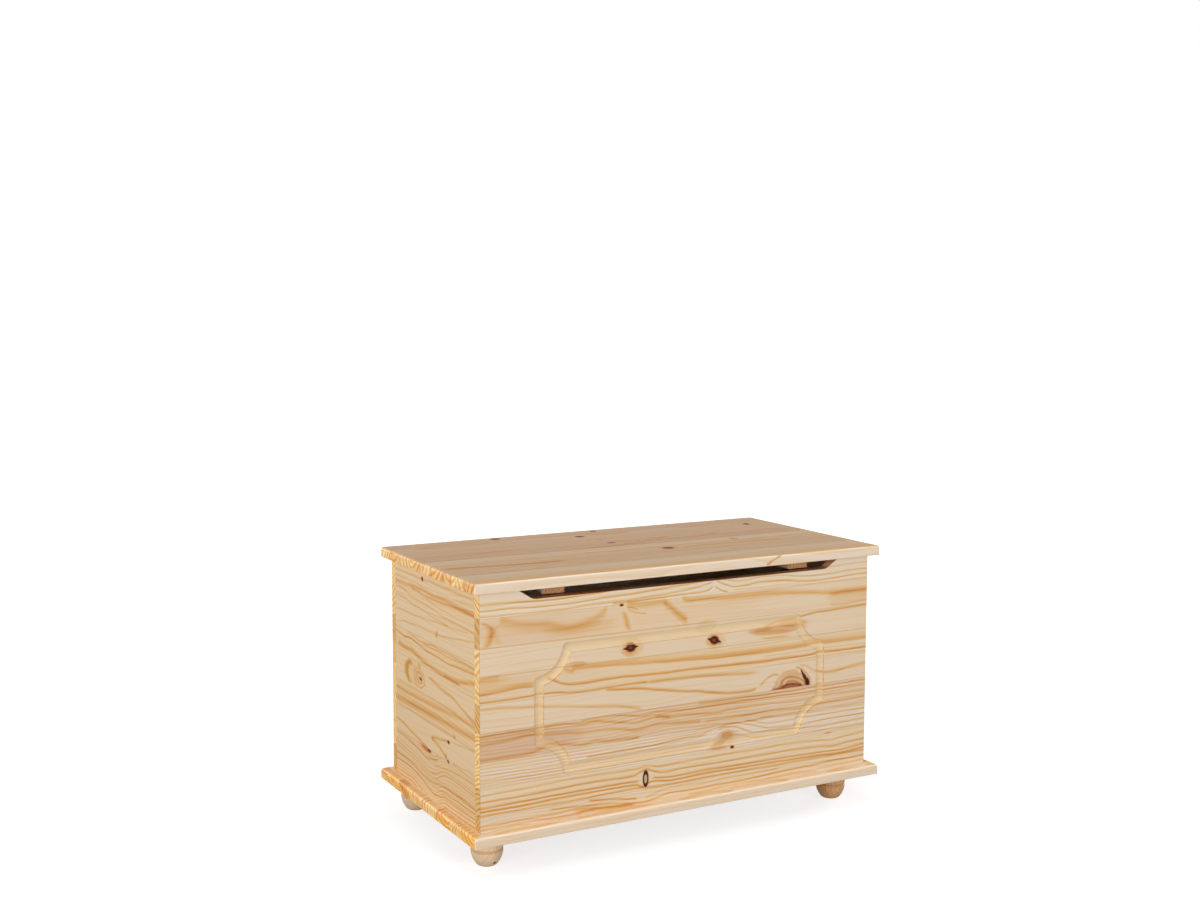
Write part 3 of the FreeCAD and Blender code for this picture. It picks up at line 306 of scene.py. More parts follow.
def pine(name, axes, face, sign, span, boards, lines=(), posts=(), knots=(), eyes=(),
         tint=(1.0, 1.0, 1.0, 1.0), flow=None, end_tint=colour(222, 178, 112), seed=0.0, extra=None,
         gloss=0.46, sheen=0.16, mottle=0.26, painted_edge_light=0.0, painted_top_light=0.0, end_marks=(), wrap=None):
    graph = Graph(name)
    place = graph.place()
    along, across, deep = (graph.part(place, axis) for axis in axes)
    depth = (deep - face) * sign
    low, high = span
    share = (across - low) * (1 / (high - low))

    # Each board's own values.
    edges = [board[0] for board in boards]
    ring_rows = [((board[1] - PITH_LOW) / PITH_SPAN, board[2] / DEEP_SPAN, board[3] / RING_SPAN)
                 for board in boards]
    seats = [(edge * 0.137 % 1.0, (edge - low) / (high - low), (top - low) / (high - low))
             for edge, top in zip(edges, edges[1:] + [high])]
    pith, pith_deep, spacing = by_board(graph, share, span, edges, ring_rows)
    strength, tone, pinkness = by_board(graph, share, span, edges, [board[4:] for board in boards])
    own, seat_low, seat_high = by_board(graph, share, span, edges, seats)
    shift = own * 700 + seed * 131
    run = along + shift

    # Rings, of which the late part of each year is dark.
    bent = bent_grain(graph, along, across, knots, flow)
    sway = graph.lumps((run, bent, depth), (260, 55, 60)) - 0.5
    ripple = graph.lumps((run, bent, depth), (48, 13, 14), 1.0) - 0.5
    drift = graph.noise(graph.join(run * (1 / 210), shift * 0.013), 1.0) - 0.5
    side = bent - (pith * PITH_SPAN + PITH_LOW) + sway * 26 + ripple * 1.8
    inside = depth + pith_deep * DEEP_SPAN + drift * 34
    radius = graph.math("SQRT", side * side + inside * inside) / (spacing * RING_SPAN)
    ring = graph.math("FLOOR", radius)
    within = radius - ring
    amount = graph.node("TexWhiteNoise", {"W": ring + own * 61}, "Value", noise_dimensions="1D")
    rings = graph.smooth(within, 0.25, 0.9) * graph.smooth(within, 1.0, 0.93) * (amount * 0.75 + 0.25)

    # Fibres, broad shades and fine lines, and then the listed lines.
    fibre = graph.lumps((run, bent, depth), (36, 0.9, 0.9), 3.0, 0.65)
    broad = graph.lumps((run, bent, depth), (300, 16, 20))
    graph.grain = graph.smooth(graph.lumps((run, bent + sway * 22, depth), (420, 3.4, 14), 1.0), 0.5, 0.78)
    late = rings * strength + graph.grain * 0.24
    near_face = graph.smooth(depth, MARK_END, MARK_FULL)
    if lines:
        middle, half = (low + high) / 2, (high - low) / 2 * 1.02
        laid = laid_lines(graph, along, across + ripple * 2.2, LINE_REACH, middle, half, lines)
        late = late + laid * near_face
    if posts:
        tall = max(abs(low), abs(high))
        upright = laid_lines(graph, across, along + ripple * 2.5, tall, 0, POST_REACH, posts)
        late = late + upright * near_face
    late = late + (fibre - 0.5) * 0.24 + (broad - 0.5) * mottle
    late = graph.math("ADD", late, 0.0, clamp=True)

    # The colour of the faces.
    wood = graph.mix(tone, PALE, GOLD)
    wood = graph.mix(pinkness, wood, PINK)
    wood = graph.mix(1.0, wood, tint, "MULTIPLY")
    # Painted light: the front and back edges are painted paler, and their grain lines are fainter.
    if painted_edge_light:
        on_edge = graph.smooth(graph.math("ABSOLUTE", graph.facing(axes[1])), 0.25, 0.8)
        wood = graph.mix(on_edge * painted_edge_light, wood, PAINTED_EDGE_LIGHT)
        late = late * (1.0 - on_edge * 0.5)
    # Painted light: faces that look up are painted paler, a painted highlight on the base's ledge.
    if painted_top_light:
        wood = graph.mix(graph.smooth(graph.facing(2), 0.1, 0.7) * painted_top_light, wood, PAINTED_TOP_LIGHT)
    wood = graph.mix(1.0, wood, graph.ramp(late, LATE), "MULTIPLY")
    if eyes:
        eye = graph.least([rim(graph, along, across, spot) for spot in eyes]) + (broad - 0.5) * 0.7
        curl = graph.math("SINE", eye * 17 + ripple * 4) * 0.16
        wood = graph.mix(graph.smooth(eye, 1.15, 0.35) * (0.78 + curl), wood, EYE)
    if knots:
        near = graph.least([rim(graph, along, across, spot) for spot in knots])
        near = near + (graph.noise(graph.join(along * 0.22, across * 0.22), 3.0, 0.6) - 0.5) * 1.1
        wood = graph.mix(graph.smooth(near, 1.75, 1.02) * near_face, wood, graph.ramp(near * 0.5, KNOT))
    if extra is not None:
        wood = extra(graph, along, across, depth, wood, ripple, broad)

    # End grain shows the rings much stronger than the faces do. On the base it wraps round the upper edge.
    end = graph.smooth(graph.math("ABSOLUTE", graph.facing(axes[0])), 0.55, 0.85)
    if wrap:
        lip = graph.smooth(graph.facing(2), 0.05, 0.3)
        lip = lip * graph.smooth(graph.math("ABSOLUTE", across), high - 3, high - 7) * 0.8
        end = graph.math("MAXIMUM", end, graph.smooth(graph.math("ABSOLUTE", along), wrap, wrap + 6) * lip)
    wide = radius * 0.72
    place_in = wide - graph.math("FLOOR", wide)
    band = graph.smooth(place_in, 0.35, 0.75) * graph.smooth(place_in, 1.0, 0.9)
    blotch = graph.noise(graph.join(bent * (1 / 9), depth * (1 / 7), shift * 0.01)) - 0.5
    marks = graph.noise(graph.join(bent * (1 / 17), depth * (1 / 11), shift * 0.02 + 40), 1.0)
    end_late = band * (amount * 0.55 + 0.5) + blotch * 0.8 + graph.smooth(marks, 0.62, 0.78) * 0.4
    end_late = graph.math("ADD", end_late, (fibre - 0.5) * 0.35, clamp=True)
    end_wood = graph.mix(graph.smooth(own, 0.15, 0.85), end_tint, PALE_END)
    end_wood = graph.mix(1.0, end_wood, graph.ramp(end_late, LATE), "MULTIPLY")
    for middle, half, slant, share_of, tint_of in end_marks:
        off = graph.math("ABSOLUTE", across + (depth - 9) * slant + ripple * 2 - middle)
        shown = graph.smooth(off, half + 1.2, half - 1.2) * share_of
        end_wood = graph.mix(shown, end_wood, tint_of, "MULTIPLY")
    wood = graph.mix(end, wood, end_wood)

    # The dark hairline where two boards are glued.
    to_edge = graph.math("MINIMUM", share - seat_low, seat_high - share) * (high - low)
    wood = graph.mix(graph.smooth(to_edge, 0.9, 0.1) * 0.22, wood, SEAM)

    rough = graph.smooth(fibre + late * 0.35, 0.1, 1.1, gloss + 0.08, gloss - 0.04)
    graph.shader.inputs["Specular IOR Level"].default_value = sheen
    return graph.finish(wood, rough, fibre)


# Boards that nobody laid out by hand: widths and rings from a seeded list.

def plain_boards(low, high, seed, width=48, tone=0.3, pink=0.1):
    pick = random.Random(seed)
    count = max(1, round((high - low) / width))
    size = (high - low) / count
    made = []
    for number in range(count):
        edge = low + number * size + (pick.uniform(-0.12, 0.12) * size if number else 0)
        middle = edge + size / 2
        flat = pick.random() < 0.55
        aside = pick.uniform(-14, 14) if flat else pick.choice((-1, 1)) * pick.uniform(50, 120)
        deep = pick.uniform(10, 45)
        spacing = pick.uniform(3.2, 7.5)
        strength = pick.uniform(0.35, 0.75)
        own_tone = min(1, max(0, tone + pick.uniform(-0.25, 0.25)))
        own_pink = min(1, max(0, pink + pick.uniform(-0.1, 0.15)))
        made.append((edge, middle + aside, deep, spacing, strength, own_tone, own_pink))
    return made


# The front panel, board by board.

front_boards = [
    (73, 60, 24, 5.0, 0.40, 0.05, 0.10),
    (97.5, 40, 30, 6.2, 0.30, 0.12, 0.05),
    (145, 95, 20, 5.0, 0.46, 0.00, 0.10),
    (189, 120, 30, 5.4, 0.50, 0.14, 0.36),
    (236, 330, 40, 6.8, 0.14, 0.08, 0.14),
    (282.5, 400, 40, 7.4, 0.18, 0.36, 0.06),
    (327.5, 260, 60, 8.2, 0.08, 0.12, 0.10),
    (373.5, 470, 50, 9.0, 0.10, 0.36, 0.12),
    (421.5, 520, 30, 5.2, 0.16, 0.00, 0.00),
]

front_lines = [
    # top board, with the feather beside the middle
    (2.6, 1.2, 0.75, 8, -406, 444, -330, 444, -270, 441.5, -230, 442.5, -200, 444.5, -150, 446.5,
     -125, 449),
    (2.4, 1.2, 0.8, 8, -406, 434, -340, 434.5, -300, 433, -250, 432, -200, 433.5, -150, 436.5, -100, 438,
     -50, 441, 0, 444, 40, 448),
    (2.4, 1.2, 0.7, 8, -406, 425.5, -300, 424.5, -250, 424, -200, 426, -100, 428.5, -50, 431, 0, 435,
     36, 440, 54, 444.5),
    (2.2, 1.1, 0.85, 5, -150, 424, -50, 426, 0, 427.5, 30, 428.5, 44, 431, 53, 436),
    (1.8, 1.6, 0.8, 3, 54, 436, 60, 432, 70, 427, 84, 422.5),
    (2.2, 1.3, 0.8, 4, 57, 446, 66, 441, 78, 436.5, 95, 431.5, 120, 432, 150, 434.5, 200, 433, 240, 428.5,
     280, 426.5, 310, 428, 350, 430, 406, 431),
    (2.0, 1.2, 0.65, 4, 60, 449, 85, 443.5, 100, 440.5, 125, 441, 150, 443.5, 200, 442.5, 230, 438.5,
     270, 435.5, 310, 437, 350, 439, 406, 439),
    (1.6, 1.1, 0.55, 5, 284, 448, 320, 450.5, 406, 451.5),
    (1.6, 1.1, 0.35, 10, 90, 425, 200, 425, 280, 422.5, 406, 424),
    # second board, broad blotches
    (6.0, 11.0, 0.52, 10, -358, 422, -345, 416, -330, 411, -315, 407, -290, 404.5, -265, 403, -250, 398,
     -230, 395, -205, 397, -185, 402, -170, 409, -160, 416, -153, 422),
    (7, 16, 0.26, 30, -290, 398, -240, 390, -180, 392, -130, 396),
    (6.0, 5.5, 0.62, 6, -122, 421, -100, 418, -75, 417.5, -55, 418.5, -40, 414),
    (1.6, 1.6, 0.6, 4, -120, 413, -108, 408, -98, 404, -80, 402),
    (1.6, 1.6, 0.5, 4, -122, 417, -108, 414, -96, 408),
    (7.5, 8.5, 0.75, 10, -50, 420, -36, 410, -25, 400, -15, 392, -5, 385, 4, 380),
    (5.0, 3.6, 0.66, 8, -14, 421, 0, 417, 25, 416, 50, 415, 75, 413.5, 110, 413, 150, 412.5, 190, 411.5,
     225, 409, 260, 406, 290, 402.5, 330, 400.5, 406, 402),
    (12, 9, 0.32, 30, 290, 398, 340, 396, 406, 396),
    (3.0, 2.0, 0.5, 10, 300, 379, 345, 378, 365, 380, 406, 382),
    (1.0, 0.9, 0.5, 20, -406, 374.6, -100, 374.8, 60, 374.6),
    # third board, pale, with the tongue
    (3.0, 8.0, 0.46, 34, 122, 350, 150, 347.5, 180, 345, 215, 342, 236, 341),
    (2.4, 1.2, 0.62, 30, 140, 336, 165, 332.5, 190, 331.5, 228, 330.5),
    (3.6, 1.6, 0.62, 6, 160, 351, 185, 357, 205, 360.5, 225, 362, 240, 364),
    (2.6, 1.5, 0.9, 4, 238, 364, 270, 368, 300, 369, 340, 370.5, 406, 372),
    # fourth board, strong lines
    (2.5, 7.0, 0.45, 8, -406, 326, -375, 326, -352, 327),
    (4, 4, 0.62, 5, -240, 326, -230, 322, -218, 317),
    (8.5, 2.0, 0.72, 6, -226, 322, -200, 322, -170, 321, -140, 320, -100, 317.5, -70, 316.5, -40, 314,
     0, 312.5, 50, 310, 100, 308.5, 150, 307.5, 200, 307.5, 240, 309, 270, 310.5, 330, 310, 406, 310),
    (5.5, 1.5, 0.85, 8, -406, 297.5, -350, 301, -320, 303, -290, 302),
    (3.4, 1.5, 0.95, 5, -270, 313, -255, 307, -243, 301, -225, 297, -200, 296.5, -170, 297.5, -140, 298,
     -100, 296.5, -50, 295, 0, 294.5, 50, 294, 100, 292.5, 150, 291, 200, 292, 250, 291.5, 290, 294,
     330, 292.5, 406, 293.5),
    (5, 4, 0.35, 12, -406, 309, -340, 310, -285, 309),
    (2.4, 1.2, 0.9, 8, -406, 286.5, -340, 286, -290, 287.5, -265, 288, -245, 286, -230, 283.7, -190, 283,
     -150, 284, -100, 284.5, -78, 284),
    (1.2, 1.0, 0.4, 20, 150, 300, 250, 301, 406, 300),
    (1.4, 1.0, 0.45, 12, 230, 286, 300, 287, 406, 285.5),
    # fifth board, slanted lines that run into the large knot
    (3.4, 2.4, 0.6, 14, -406, 276, -350, 274, -320, 271, -290, 268, -260, 264.5, -230, 261, -200, 257,
     -170, 253, -140, 250, -120, 246, -100, 241, -84, 237),
    (3.2, 2.0, 0.88, 14, -165, 280.5, -130, 277, -100, 274.5, -75, 271, -50, 266, -25, 261.5, 0, 257.5,
     25, 254, 50, 249, 75, 245, 100, 242.5, 130, 241.5, 152, 245),
    (4.2, 2.4, 0.72, 40, -104, 284, 0, 281.5, 30, 280.5, 60, 278.5, 90, 276.5, 120, 274.5, 150, 273.5,
     162, 279),
    (2.2, 2.2, 0.75, 5, 150, 246, 160, 254, 170, 261, 182, 265, 196, 264),
    (2.2, 2.6, 0.7, 5, 196, 262, 208, 267, 225, 267.5, 238, 263),
    (2.0, 2.2, 0.8, 5, 228, 273, 240, 270, 250, 263, 260, 253, 265, 246, 269, 237),
    (1.8, 1.8, 0.6, 6, 238, 276.5, 254, 272.5, 266, 265, 280, 259.5, 296, 256),
    (3.4, 2.6, 0.62, 8, 280, 257, 310, 255, 330, 257, 350, 260, 406, 264),
    # sixth board, fine wavy lines
    (2.6, 2.0, 0.6, 10, -406, 231, -340, 232, -290, 231, -250, 234, -220, 230, -200, 228, -180, 229,
     -160, 226, -120, 219, -100, 216, -70, 220, -55, 221, -40, 218, 0, 217, 60, 212, 82, 213),
    (3.4, 2.2, 0.6, 10, -406, 216, -340, 219, -300, 222, -275, 220, -240, 217, -200, 213, -170, 213,
     -130, 209, -100, 203.5, -80, 206, -60, 208, -30, 205, 0, 203, 34, 201),
    (3.6, 1.6, 0.62, 10, -406, 192, -340, 191.5, -290, 194, -262, 200, -230, 196.5, -200, 192.5, -180, 195,
     -150, 191.5, -90, 190),
    (2.0, 1.4, 0.68, 8, -210, 234, -150, 234.5, -120, 231, -85, 227, -60, 229, -30, 227, 0, 225.5, 60, 226,
     150, 225, 250, 224, 406, 223),
    (2.2, 1.4, 0.6, 10, 20, 232.5, 100, 232, 200, 231, 270, 232, 406, 230),
    (3.4, 1.8, 0.55, 14, 70, 213, 150, 214.5, 240, 211, 300, 213, 406, 212.5),
    (3.4, 1.8, 0.55, 14, 30, 200, 100, 199, 180, 200.5, 240, 197, 300, 199, 406, 201),
    (4.0, 3.4, 0.34, 8, -66, 221, -50, 219, -30, 217),
    # seventh board, lines over the eye
    (2.0, 1.3, 0.62, 8, -200, 170, -60, 173, 0, 176, 30, 177, 50, 182, 75, 186, 100, 187.5, 115, 185,
     130, 181, 150, 176, 170, 170, 200, 168, 240, 166, 300, 168.5, 406, 168),
    (2.0, 1.4, 0.7, 8, 60, 180, 80, 183, 100, 182, 115, 176, 130, 169, 140, 166, 170, 163, 200, 161,
     240, 159, 300, 157.5, 406, 159),
    (1.8, 1.2, 0.62, 8, 118, 189.5, 140, 186, 160, 180, 190, 177.5, 240, 178, 300, 178.5, 406, 178),
    (1.8, 1.2, 0.5, 8, 150, 191, 200, 187, 250, 185.5, 406, 186),
    (1.8, 1.2, 0.55, 8, 98, 168, 120, 162, 140, 156, 180, 153, 240, 151, 300, 149, 406, 148),
    (1.7, 1.1, 0.50, 20, -406, 184, -200, 183, 0, 184, 70, 190),
    (1.7, 1.1, 0.52, 20, -406, 178.5, -200, 177.5, 0, 180, 60, 185),
    (1.7, 1.1, 0.50, 20, -406, 173, -200, 172, 0, 172, 50, 176),
    (1.7, 1.1, 0.54, 20, -406, 167, -200, 166, 0, 166, 60, 166),
    (1.7, 1.1, 0.50, 20, -406, 161, -200, 160.5, 0, 160, 60, 160),
    (1.7, 1.1, 0.54, 20, -406, 155, -200, 155, 0, 154, 50, 154),
    (1.7, 1.1, 0.52, 20, -406, 149.5, -200, 149.5, 0, 149, 50, 148),
    # eighth board, strong straight lines
    (2.6, 1.2, 0.62, 8, -406, 134, -300, 135.5, -220, 137, -100, 136, -80, 138, -50, 133, -20, 134, 50, 134,
     200, 133.5, 260, 132, 290, 130, 315, 127, 340, 130, 406, 134),
    (2.8, 1.3, 0.85, 8, -406, 123, -300, 123.5, -200, 125.5, -110, 124, -80, 131, -62, 125, -40, 121.5,
     0, 123, 100, 122, 200, 121.5, 290, 118.5, 320, 116, 350, 118, 406, 120.5),
    (2.4, 1.2, 0.9, 8, -406, 113, -300, 114, -200, 115, -120, 114, -92, 112.5),
    (2.4, 1.2, 0.9, 8, -70, 116, -50, 113, -30, 111.5, 50, 113, 100, 111, 200, 110.5, 290, 108, 330, 106.5,
     406, 111),
    (2.6, 1.3, 1.0, 8, -406, 106.5, -300, 107.5, -200, 109, -100, 107.5, -86, 103, -70, 109, -30, 105,
     50, 107, 100, 105.5, 200, 104.5, 290, 102.5, 330, 100.5, 406, 105),
    (2.4, 1.1, 0.8, 8, -406, 100, -300, 101, -200, 100.5, -100, 101.5, -50, 98.7, 60, 99.7, 200, 98.7,
     406, 98.7),
    # lowest board, dipping lines
    (2.2, 1.6, 0.6, 16, -406, 83.5, -300, 84, -250, 84, -220, 85, -200, 84, -170, 80.5, -140, 78, -120, 77,
     -96, 74),
    (2.4, 1.8, 0.85, 8, -195, 95.5, -170, 93, -140, 90, -120, 87, -95, 84),
    (2.0, 1.3, 0.75, 12, -270, 92.5, -200, 88, -150, 83.5, -110, 78.5, -85, 76, -60, 79, -30, 84, 0, 83,
     100, 82.5, 200, 85, 300, 87.5, 406, 90),
    (1.8, 1.4, 0.5, 8, -86, 82, -65, 87, -50, 91, -20, 93, 50, 91, 200, 92.5),
    (1.6, 1.2, 0.5, 10, -406, 77, -300, 78, -200, 76),
    (3.0, 4.0, 0.7, 30, -230, 82, -180, 79, -140, 76, -95, 74.5),
    (1.6, 1.2, 0.4, 10, 0, 76, 200, 77, 406, 81),
]

front_posts = [
    (5.0, 7.5, 0.72, 3, 374, -377, 380, -374, 390, -370, 400, -367.5, 405, -369, 412, -376, 417, -388),
    (4.6, 5.2, 0.66, 5, 375, -114, 385, -118, 395, -121, 410, -126),
    (6.0, 10.0, 0.3, 5, 376, -355, 400, -362, 415, -350),
]

front_knots = [
    (-113, 346, 7.0, 6.0, 0),
    (53, 341, 7.0, 6.0, -12),
    (64, 337.5, 5.0, 2.8, -28),
    (95, 145.8, 3.6, 2.3, 0),
    (-130, 420.8, 3.4, 2.0, 0),
]

front_eyes = [
    (85, 167, 20, 13, -12),
    (72, 156, 24, 6, 16),
    (66, 148, 26, 3.2, 0),
    (54, 341, 17, 12, 0),
    (-112.5, 343, 17, 13, 0),
    (305, 142, 12, 2.2, 0),
]

# Tones that change within a board, and on the top board a painted light: each is (x, z, half length, half
# height, strength, tint).

front_stains_and_light = [
    (0, 167, 640, 24, 0.85, (1.01, 1.09, 1.30, 1.0)),
    (-300, 85, 170, 14, 0.8, (0.96, 0.965, 1.02, 1.0)),
    (290, 212, 170, 24, 0.8, (1.04, 1.07, 1.14, 1.0)),
    (-290, 305, 170, 24, 0.8, (0.96, 0.955, 0.98, 1.0)),
    (290, 305, 170, 24, 0.8, (1.00, 1.05, 1.12, 1.0)),
    (-290, 397, 170, 24, 0.8, (0.965, 0.955, 0.965, 1.0)),
    (290, 397, 170, 24, 0.8, (1.02, 1.05, 1.12, 1.0)),
    # Paler across the top board: painted light against the shade under the lid.
    (0, 444, 640, 30, 0.8, (1.03, 1.08, 1.16, 1.0)),
    (-320, 398, 90, 22, 0.5, (0.97, 0.93, 0.90, 1.0)),
    (40, 367, 22, 13, 0.6, (0.94, 0.84, 0.66, 1.0)),
    (-112, 352, 36, 14, 0.3, (0.95, 0.86, 0.70, 1.0)),
    (-70, 156, 110, 10, 0.3, (0.97, 0.92, 0.86, 1.0)),
    (-345, 212, 150, 25, 0.8, (0.90, 0.80, 0.76, 1.0)),
    (-368, 321, 40, 8, 0.7, (0.93, 0.87, 0.68, 1.0)),
    (190, 346, 62, 8.5, 0.85, (0.87, 0.66, 0.45, 1.0)),
    (224, 354, 36, 7, 0.8, (0.87, 0.66, 0.43, 1.0)),
    (-216, 330, 20, 5, 0.75, (0.86, 0.66, 0.42, 1.0)),
    (150, 349, 30, 4, 0.6, (0.88, 0.68, 0.47, 1.0)),
    (355, 393, 60, 14, 0.6, (0.94, 0.86, 0.72, 1.0)),
    (86, 164, 30, 17, 0.6, (0.92, 0.78, 0.58, 1.0)),
]


def front_extra(graph, along, across, depth, wood, ripple, broad):
    # The large knot that the glue line cuts, its dark heart and its crack.
    grit = graph.noise(graph.join(along * 0.5, across * 0.9), 2.0) - 0.5
    knot = rim(graph, along, across, (222, 234, 40, 31, 0)) + (broad - 0.5) * 0.6
    arcs = graph.math("SINE", knot * 22 + ripple * 8) * 0.5 + 0.5
    body = graph.mix(arcs * 0.85, colour(220, 178, 124), colour(180, 118, 62))
    above = graph.smooth(across, 236.2, 237.4)
    wood = graph.mix(graph.smooth(knot, 1.15, 0.7) * above * 0.92, wood, body)
    heart = rim(graph, along, across, (222, 236, 25, 9, -3)) + (broad - 0.5) * 0.5 + grit * 0.7
    dark = graph.mix(graph.smooth(heart + grit * 1.4, 0.3, 0.8), colour(176, 98, 56), colour(116, 50, 26))
    wood = graph.mix(graph.smooth(heart, 1.15, 0.85) * above * 0.94, wood, dark)
    foot = rim(graph, along, across, (190, 237, 16, 3.4, 0)) + grit * 0.5
    wood = graph.mix(graph.smooth(foot, 1.2, 0.4) * above * 0.85, wood, colour(146, 70, 32))
    slivers = [(246, 260, 1.7, 7, 28), (251, 252, 3.0, 8, 30), (256.5, 242.5, 4.6, 8, 16)]
    crack = graph.least([rim(graph, along, across, spot) for spot in slivers]) + grit * 0.7
    wood = graph.mix(graph.smooth(crack, 1.7, 1.0) * above * 0.8, wood, colour(158, 84, 44))
    wood = graph.mix(graph.smooth(crack, 1.1, 0.8) * above, wood, colour(56, 24, 24))
    # Two knots with a point at each end, in a golden ring.
    for x, z, turn in ((-112, 346.5, 4), (55, 341, -16)):
        halo = rim(graph, along, across, (x + 3, z - 1, 18, 14, 0)) + (broad - 0.5) * 0.5
        halo = halo + grit * 0.4 + ripple * 0.4
        ring = graph.smooth(halo, 0.6, 0.95) * graph.smooth(halo, 1.2, 1.0)
        wood = graph.mix(graph.smooth(halo, 1.5, 0.4) * 0.5, wood, colour(228, 184, 114))
        wood = graph.mix(ring * 0.16, wood, colour(196, 146, 80))
        tips = lens(graph, along, across, (x, z, 15.0, 3.2, turn)) + grit * 0.5
        centre = rim(graph, along, across, (x + 0.5, z + 0.3, 8.6, 7.0, turn)) + grit * 0.7
        pupil = graph.least([centre, tips])
        wood = graph.mix(graph.smooth(pupil, 1.3, 1.0), wood, colour(150, 66, 26))
        wood = graph.mix(graph.smooth(pupil, 1.02, 0.76), wood, colour(62, 20, 14))
        core = rim(graph, along, across, (x - 0.5, z + 0.3, 4.6, 3.4, turn)) + grit * 1.6
        wood = graph.mix(graph.smooth(core, 1.1, 0.5) * 0.7, wood, colour(134, 68, 42))
    # The upright oval knot that is only an outline.
    oval = rim(graph, along, across, (-81.5, 116, 5.4, 14.2, 0)) + ripple * 0.25
    line = graph.smooth(oval, 0.42, 0.66) * graph.smooth(oval, 1.12, 0.96)
    wood = graph.mix(graph.smooth(oval, 1.5, 0.9) * 0.6, wood, colour(176, 128, 86))
    wood = graph.mix(line, wood, colour(66, 30, 22))
    for x, z, long_half, high_half, amount, tint in front_stains_and_light:
        near = rim(graph, along, across, (x, z, long_half, high_half, 0)) + (broad - 0.5) * 0.5
        wood = graph.mix(graph.smooth(near, 1.1, 0.7) * amount, wood, tint, "MULTIPLY")
    # The routed groove cuts across the fibres and takes the lacquer a little yellower.
    cut = graph.smooth(depth, 0.25, 1.6) * graph.smooth(depth, 9.0, 8.0)
    wood = graph.mix(cut * 0.34, wood, colour(236, 206, 150))
    # Painted shade: a thin brown line along the groove's steps.
    rim_shade = graph.smooth(depth, 0.03, 0.25) * graph.smooth(depth, 1.9, 0.9)
    wood = graph.mix(rim_shade * 0.78, wood, colour(160, 108, 54))
    # The sawn edge of the finger gap is darker than the planed face, and its flat top under the lid gets
    # painted shade, dark brown; its slopes get a warmer tint.
    up = graph.facing(2)
    sawn_and_shade = graph.mix(graph.smooth(up, 0.8, 0.95), colour(250, 206, 158), colour(172, 116, 70))
    in_gap = graph.smooth(across, 440, 446) * graph.smooth(across, 464.9, 463.5)
    return graph.mix(graph.smooth(up, 0.3, 0.5) * in_gap * 0.8, wood, sawn_and_shade, "MULTIPLY")


# The side panels.

side_boards = [
    (73, 60, 14, 5.2, 0.85, 0.44, 0.08),
    (112, 70, 20, 5.6, 0.75, 0.50, 0.16),
    (156, 260, 60, 7.4, 0.20, 0.44, 0.12),
    (203, 300, 70, 6.0, 0.34, 0.56, 0.10),
    (249, 380, 60, 7.4, 0.14, 0.46, 0.08),
    (297, 200, 50, 6.6, 0.34, 0.50, 0.08),
    (345, 470, 60, 7.0, 0.24, 0.36, 0.10),
    (395, 300, 70, 6.4, 0.34, 0.46, 0.08),
    (437, 500, 60, 6.0, 0.30, 0.44, 0.06),
]

